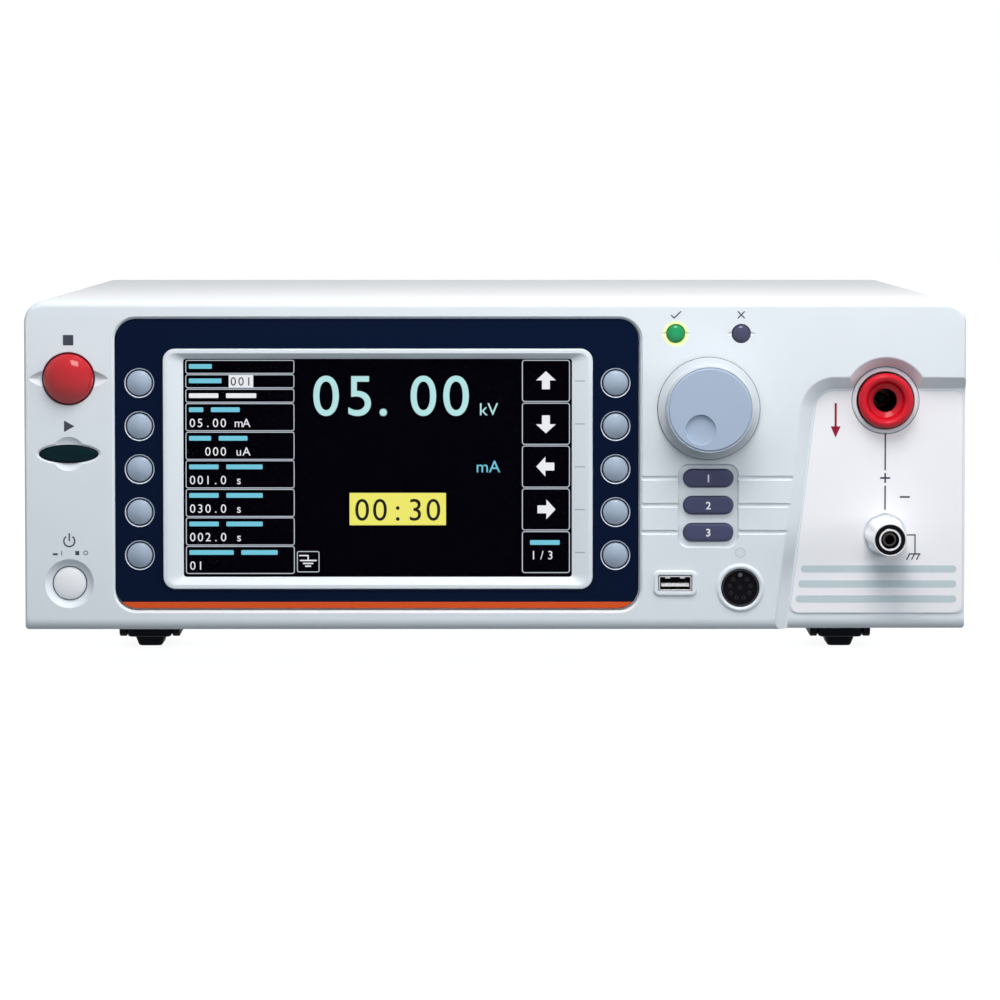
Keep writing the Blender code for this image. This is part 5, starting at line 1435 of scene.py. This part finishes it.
def build_fan(rear):
    """The fan: frame, struts, wire guard and rotor.

    A blade is a row of sections from hub to tip. Along a section, s from -1 to 1, the middle rises
    by 1 - s squared and the thickness follows its square root. The pitch falls evenly to the tip.
    """
    black = moulded("fan plastic", rear.black, 0.42, 0.2, 0.1)
    far, near = -1.8, -26.8
    square, bore = centred(0, 0, 80, 80, 4, 24), centred(0, 0, 76.4, 76.4, 38.2, 24)
    walls = [(square, near), (square, far), (bore, far), (bore, near)]
    body = to_mesh("fan_housing", loft(walls, ring=True))
    level = block((-39, near, -1.6), (39, near + 2.6, 1.6))
    upright = block((-1.6, near, -39), (1.6, near + 2.5, 39))
    hub_plate = prism(circle(0, 0, 17.5, 64), near, near + 2.7)
    body = carved(body, ("UNION", level), ("UNION", upright), ("UNION", hub_plate))
    body.transform(rear_place(FAN))
    show("fan_housing", body, black, "fan_frame")
    hub = path((0, far - 2.5), (16.4, far - 2.5, 1.2), (17.5, far - 5), (17.5, near + 4.2), (0, near + 4.2))
    middle = (near + far) / 2 + 0.9
    radii = np.linspace(16.6, 36.6, 12)
    shares = np.linspace(-1, 1, 13)
    grid = []
    for radius in radii:
        out = (radius - 16.6) / 20.0
        chord, pitch = 17.0 + 3.5 * out, math.radians(44 - 18 * out)
        along = shares * chord / 2
        camber = 1.4 * (1 - shares**2)
        thick = 0.75 * np.sqrt(np.clip(1 - shares**2, 0, 1)) + 0.12
        around = np.concatenate([along, along[::-1]])
        height = np.concatenate([camber + thick, (camber - thick)[::-1]])
        y = middle + around * math.sin(pitch) + height * math.cos(pitch)
        z = around * math.cos(pitch) - height * math.sin(pitch)
        # The chord bends round the hub, so that the blade's tip stays inside the bore.
        grid.append(np.column_stack([np.sqrt(radius**2 - z**2), y, z]))
    blade = surface(np.stack(grid))
    blades = [spun(blade, 360 * n / rear.blades) for n in range(rear.blades)]
    rotor = on_rear(together(turned(hub, 84), *blades), FAN)
    show("fan_wheel", rotor, black, "fan_rotor", body="fan_rotor", sharp=40)
    wire = rear.wire / MM
    rings = [turned(circle(radius, 2.9, wire, 16), 128, ring=True) for radius in (8, 15.5, 23, 30.5, 37)]
    reach = FAN_BOLT * math.sqrt(2) - 3.4
    arm = prism(circle(0, 0, wire, 16), -reach, reach, from_side)
    arms = [spun(moved(arm, 0, 1.35, 0), angle) for angle in (45, 135)]
    eye_ring = path((2.3, 0.4), (3.9, 0.4, 0.5), (3.9, 2.0, 0.5), (2.3, 2.0), steps=4)
    eyelet = turned(eye_ring, 48, ring=True)
    eyes = [moved(eyelet, x, 0, z) for x in (-FAN_BOLT, FAN_BOLT) for z in (-FAN_BOLT, FAN_BOLT)]
    guard = on_rear(together(*rings, *arms, *eyes), FAN)
    show("fan_wires", guard, plated("guard plating", (0.70, 0.70, 0.72), 0.16),
         "fan_guard", sharp=50)


def build_inlet(rear, sockets):
    """The mains inlet with its pins, and the fuse drawer."""
    black = moulded("inlet plastic", rear.black, 0.38, 0.2, 0.1)
    flange = centred(0, 0, 50, 34, 4)
    profile = path((-10, 0.3), (0, 0.3), (0, 3.5, 0.8), (-3, 3.5), steps=5)
    back = centred(0, 0, 30, 31, 1.5)
    body = to_mesh("inlet_body", together(swept(flange, profile), prism(back, -20, 0.35)))
    mouth = np.array([(-12, -2.7), (12, -2.7), (12, 10.2), (8.6, 13.7), (-8.6, 13.7), (-12, 10.2)])
    bay = centred(0, DRAWER[1] - INLET[1], 22.4, 7.8, 0.6)
    body = carved(body, ("DIFFERENCE", together(prism(mouth, -13.5, 6), prism(bay, -13.5, 6))))
    body.transform(rear_place(INLET))
    show("inlet_body", body, black, "mains_inlet")
    pins = [block((px - 1, -13.4, pz - 2), (px + 1, -1.0, pz + 2)) for px, pz in ((-7, 5), (7, 5), (0, 9))]
    show("inlet_pins", on_rear(together(*pins), INLET), plated("pin plating", sockets.metal, 0.25))
    drawer = centred(0, 0, 21.6, 7.0, 0.5)
    lip_edge = path((0, -12.8), (0, 3.6), (0.9, 3.7), (0.9, 4.8, 0.4), (-0.5, 5.4, 0.2), (-1.5, 5.4), steps=4)
    show("fuse_tray", on_rear(swept(drawer, lip_edge), DRAWER), black,
         "fuse_drawer", body="fuse_drawer")


def d_outline(width, height, lean=1.1, radius=1.8):
    """A data port's D shape: a trapezium with rounded corners, wide at the top."""
    half_width, half_height = width / 2, height / 2
    return path(
        (lean - half_width, -half_height, radius), (half_width - lean, -half_height, radius),
        (half_width, half_height, radius), (-half_width, half_height, radius), closed=True, steps=10,
    )


def build_ports(sockets):
    """The two data ports: flange, D-shaped shell, dark insert with its contacts, and jackscrews."""
    metal = plated("port plating", (0.62, 0.62, 0.64), 0.24)
    dark = moulded("port insert plastic", sockets.black, 0.5, 0.2)
    rim = path((0, 0.3), (0, 1.4, 0.3), (-2, 1.4), steps=4)
    wall = path((0, 1.2), (0, 6.0, 0.25), (-0.6, 6.0, 0.2), (-0.6, 1.2), steps=4)
    nut = path((0, 1.0), (2.4, 1.0), (2.4, 5.4, 0.3), (1.3, 5.4), (1.3, 3.0), (0, 3.0))
    for node, place, width, shell, count in (
        ("serial_port", SERIAL, 30.8, 17.0, 5), ("signal_port", SIGNAL, 53.0, 38.9, 13),
    ):
        flange = swept(centred(0, 0, width, 12.5, 1.6), rim)
        tube = swept(d_outline(shell, 8.4), wall, ring=True)
        nut_x = shell / 2 + 3.6
        nuts = [moved(turned(nut, 6), x, 0, 0) for x in (-nut_x, nut_x)]
        back = prism(centred(0, 0, shell + 2, 9.8, 0.8), -12, 0.35)
        show(node + "_shell", on_rear(together(flange, tube, back, *nuts), place), metal,
             node)
        insert = to_mesh(node + "_insert", prism(offset(d_outline(shell, 8.4), -0.75), 1.3, 4.8))
        rows = [(2.77 * (n - (count - 1) / 2), 1.4) for n in range(count)]
        rows += [(2.77 * (n - (count - 2) / 2), -1.4) for n in range(count - 1)]
        holes = together(*[prism(circle(px, pz, 0.62, 16), 3.0, 6) for px, pz in rows])
        insert = carved(insert, ("DIFFERENCE", holes))
        insert.transform(rear_place(place))
        show(node + "_insert", insert, dark)


def build_ground(rear):
    """The ground post: a stud and a hand nut, whose knurl follows the size of a sine of 18 turns."""
    angles = np.linspace(0, math.tau, 144, endpoint=False)
    ridge = 0.12 * np.abs(np.sin(18 * angles))
    radii = [(2.6, 0), (6.0, 0), (6.4, 1), (6.6, 1), (6.6, 1), (6.0, 0), (2.6, 0)]
    levels = [3.7, 3.7, 4.2, 4.8, 12.6, 13.5, 13.6]
    rows = [(np.column_stack([(r - k * ridge) * np.cos(angles), (r - k * ridge) * np.sin(angles)]), level)
            for (r, k), level in zip(radii, levels)]
    stud = path((0, -5.5), (4.5, -5.5), (4.5, -1.9), (2.6, -1.9), (2.6, 17.0, 0.3), (2.2, 17.5), (0, 17.5))
    washer = path((2.6, 0.3), (6.0, 0.3, 0.2), (6.0, 2.4, 0.3), (2.6, 2.4))
    post = together(turned(stud, 48), turned(washer, 48, ring=True), loft(rows, ring=True))
    show("ground_stud", on_rear(post, GROUND), plated("post plating", rear.brass, 0.25),
         "ground_post")


def dress_inner_nodes(case):
    """Materials for the pieces inside the case, which show only through vents and gaps."""
    board = moulded("board mask", (0.012, 0.11, 0.035), 0.3, 0.2, 0.15)
    black = moulded("potting resin", (0.015, 0.015, 0.017), 0.5, 0.5, 0.2)
    steel = plated("inner sheet plating", case.steel, 0.35, (0.05, 1, 1), 300.0)
    iron = moulded("core varnish", (0.10, 0.075, 0.05), 0.4, 0.5, 0.2)
    sink = plated("sink aluminium", (0.70, 0.71, 0.73), 0.35, (1, 0.05, 1), 400.0)
    for finish, nodes in (
        (board, ("key_board", "button_board", "main_board")),
        (black, ("hv_module", "power_switch")),
        (steel, ("front_frame", "encoder_body", "encoder_shaft")),
        (iron, ("power_transformer",)),
        (sink, ("amplifier_heatsink",)),
    ):
        for node in nodes:
            frame["nodes"][node].material_slots[0].material = finish.material


def build_stage(stage):
    """The camera at the photograph's angle, the lamps, the world and the floor."""
    camera = bpy.data.cameras.new("camera")
    camera.lens = stage.lens
    camera.sensor_width = 36.0
    viewer = bpy.data.objects.new("camera", camera)
    bpy.context.scene.collection.objects.link(viewer)
    viewer.location = (-0.0033, FRONT * MM - stage.distance, stage.height)
    # Depth runs to a point 13 pixels left of the picture's middle and 329 above it.
    pixels = stage.lens / 36.0 * 1000
    pitch, yaw = math.atan2(329, pixels), math.atan2(13, pixels)
    viewer.rotation_euler = (math.radians(90) - pitch, 0, -yaw)
    bpy.context.scene.camera = viewer

    def lamp(name, watts, width, height, place, target, mirrored=False):
        """Adds a rectangular lamp, which shows in glossy surfaces only where it is mirrored."""
        light = bpy.data.lights.new(name, "AREA")
        light.energy = watts
        light.shape = "RECTANGLE"
        light.size = width
        light.size_y = height
        light.color = stage.lamp
        holder = bpy.data.objects.new(name, light)
        bpy.context.scene.collection.objects.link(holder)
        holder.location = place
        aim = Vector(target) - Vector(place)
        holder.rotation_euler = aim.to_track_quat("-Z", "Y").to_euler()
        holder.visible_camera = False
        holder.visible_glossy = mirrored

    lamp("key", stage.key, 0.32, 0.34, (0.06, -0.55, 0.72), (0, -0.2, 0.08), mirrored=True)
    lamp("near", stage.near, 0.60, 0.15, (0.03, -0.40, 0.42), (0, -0.2, 0.08))
    lamp("front", stage.front, 0.35, 0.25, (0.15, -1.10, 0.50), (0, -0.2, 0.08))
    lamp("right", stage.right, 0.5, 0.3, (0.95, -0.50, 0.25), (0.15, -0.2, 0.08))
    lamp("left", stage.left, 0.5, 0.3, (-0.95, -0.50, 0.25), (-0.15, -0.2, 0.08))
    lamp("rear", stage.rear, 1.2, 0.8, (0.2, 1.5, 0.75), (0, 0.2, 0.08))

    world = bpy.data.worlds.new("studio")
    bpy.context.scene.world = world
    world.use_nodes = True
    sky = Nodes(world.node_tree)
    ambient = sky.add("ShaderNodeBackground", {"Color": (*stage.fill, 1)})
    white = sky.add("ShaderNodeBackground", {"Color": (1, 1, 1, 1)})
    both = sky.add("ShaderNodeMixShader", {0: sky.in_view(), 1: ambient, 2: white})
    sky.feed(sky.tree.nodes["World Output"].inputs["Surface"], both)

    reach = 9000.0
    bench = prism(np.array([(-reach, -reach), (reach, -reach), (reach, reach), (-reach, reach)]),
                  -2.0, -0.02, from_above)
    floor = bpy.data.objects.new("floor", to_mesh("floor", bench))
    bpy.context.scene.collection.objects.link(floor)
    finish = Finish("floor", stage.floor, 0.9)
    pale = (0.92, 0.92, 0.92, 1)
    finish.set("Emission Color", finish.mixed(finish.in_view(), (0, 0, 0, 1), pale))
    finish.set("Emission Strength", 1.0)
    floor.data.materials.append(finish.material)
    bpy.context.scene.view_settings.view_transform = "Standard"


class AddStage(bpy.types.Operator):
    """Adds the camera, the lamps, the world and the floor"""

    bl_idname = "tester.stage"
    bl_label = "Stage"

    def execute(self, context):
        scene = context.scene
        build_stage(scene.tester_stage)
        return {"FINISHED"}


class AddFascia(bpy.types.Operator):
    """Adds the moulded front and its raised rims"""

    bl_idname = "tester.fascia"
    bl_label = "Fascia"

    def execute(self, context):
        scene = context.scene
        build_fascia(scene.tester_case, scene.tester_controls)
        build_rims(scene.tester_case)
        return {"FINISHED"}


class AddSigns(bpy.types.Operator):
    """Adds the output plate and the printed signs"""

    bl_idname = "tester.signs"
    bl_label = "Plate and signs"

    def execute(self, context):
        scene = context.scene
        build_output_plate(scene.tester_case, scene.tester_sockets)
        build_front_signs(scene.tester_controls)
        return {"FINISHED"}


class AddDisplay(bpy.types.Operator):
    """Adds the dark panel, the screen's frame and its picture"""

    bl_idname = "tester.display"
    bl_label = "Display"

    def execute(self, context):
        scene = context.scene
        build_bezel(scene.tester_display)
        build_screen(scene.tester_display, scene.tester_case)
        build_picture(scene.tester_display)
        return {"FINISHED"}


class AddKeys(bpy.types.Operator):
    """Adds the softkeys and the function keys"""

    bl_idname = "tester.keys"
    bl_label = "Keys"

    def execute(self, context):
        scene = context.scene
        build_softkeys(scene.tester_controls)
        build_function_keys(scene.tester_controls)
        return {"FINISHED"}


class AddButtons(bpy.types.Operator):
    """Adds the stop, start and power buttons and the two lamps"""

    bl_idname = "tester.buttons"
    bl_label = "Buttons and lamps"

    def execute(self, context):
        scene = context.scene
        build_buttons(scene.tester_controls, scene.tester_case)
        build_lamps(scene.tester_controls)
        return {"FINISHED"}


class AddKnob(bpy.types.Operator):
    """Adds the knob"""

    bl_idname = "tester.knob"
    bl_label = "Knob"

    def execute(self, context):
        scene = context.scene
        build_knob(scene.tester_controls)
        return {"FINISHED"}


class AddSockets(bpy.types.Operator):
    """Adds the USB port, the remote socket and the output terminals"""

    bl_idname = "tester.sockets"
    bl_label = "Sockets"

    def execute(self, context):
        scene = context.scene
        build_usb(scene.tester_sockets)
        build_remote(scene.tester_sockets)
        build_outputs(scene.tester_sockets, scene.tester_case)
        return {"FINISHED"}


class AddCase(bpy.types.Operator):
    """Adds the cover, the tray, the feet and the tilt legs"""

    bl_idname = "tester.case"
    bl_label = "Case"

    def execute(self, context):
        scene = context.scene
        build_cover(scene.tester_case)
        build_tray(scene.tester_case)
        build_feet(scene.tester_case)
        dress_inner_nodes(scene.tester_case)
        return {"FINISHED"}


class AddRear(bpy.types.Operator):
    """Adds the rear panel, the fan, the mains inlet, the ports and the ground post"""

    bl_idname = "tester.rear"
    bl_label = "Rear"

    def execute(self, context):
        scene = context.scene
        build_rear()
        build_fan(scene.tester_rear)
        build_inlet(scene.tester_rear, scene.tester_sockets)
        build_ports(scene.tester_sockets)
        build_ground(scene.tester_rear)
        return {"FINISHED"}


class TesterPanel(bpy.types.Panel):
    """Lists the steps that build the tester, and the settings of each group of pieces"""

    bl_idname = "VIEW3D_PT_tester"
    bl_label = "Hipot tester"
    bl_space_type = "VIEW_3D"
    bl_region_type = "UI"
    bl_category = "Tester"

    def draw(self, context):
        for operator in OPERATORS:
            self.layout.operator(operator.bl_idname)
        for group in SETTINGS:
            settings = getattr(context.scene, group)
            box = self.layout.box()
            for name in settings.__annotations__:
                box.prop(settings, name)


SETTINGS = {
    "tester_case": CaseSettings,
    "tester_display": DisplaySettings,
    "tester_controls": ControlSettings,
    "tester_sockets": SocketSettings,
    "tester_rear": RearSettings,
    "tester_stage": StageSettings,
}
OPERATORS = (
    AddStage, AddFascia, AddSigns, AddDisplay, AddKeys, AddButtons, AddKnob, AddSockets, AddCase,
    AddRear,
)
CLASSES = (*SETTINGS.values(), *OPERATORS, TesterPanel)


def register():
    for cls in CLASSES:
        bpy.utils.register_class(cls)
    for name, group in SETTINGS.items():
        setattr(bpy.types.Scene, name, PointerProperty(type=group))


def unregister():
    for name in SETTINGS:
        delattr(bpy.types.Scene, name)
    for cls in reversed(CLASSES):
        bpy.utils.unregister_class(cls)


def main():
    for old in list(bpy.data.objects):
        if old.name in ("Cube", "Light", "Camera"):
            bpy.data.objects.remove(old)
    register()
    for operator in OPERATORS:
        group, name = operator.bl_idname.split(".")
        getattr(getattr(bpy.ops, group), name)()


if __name__ == "__main__":
    main()
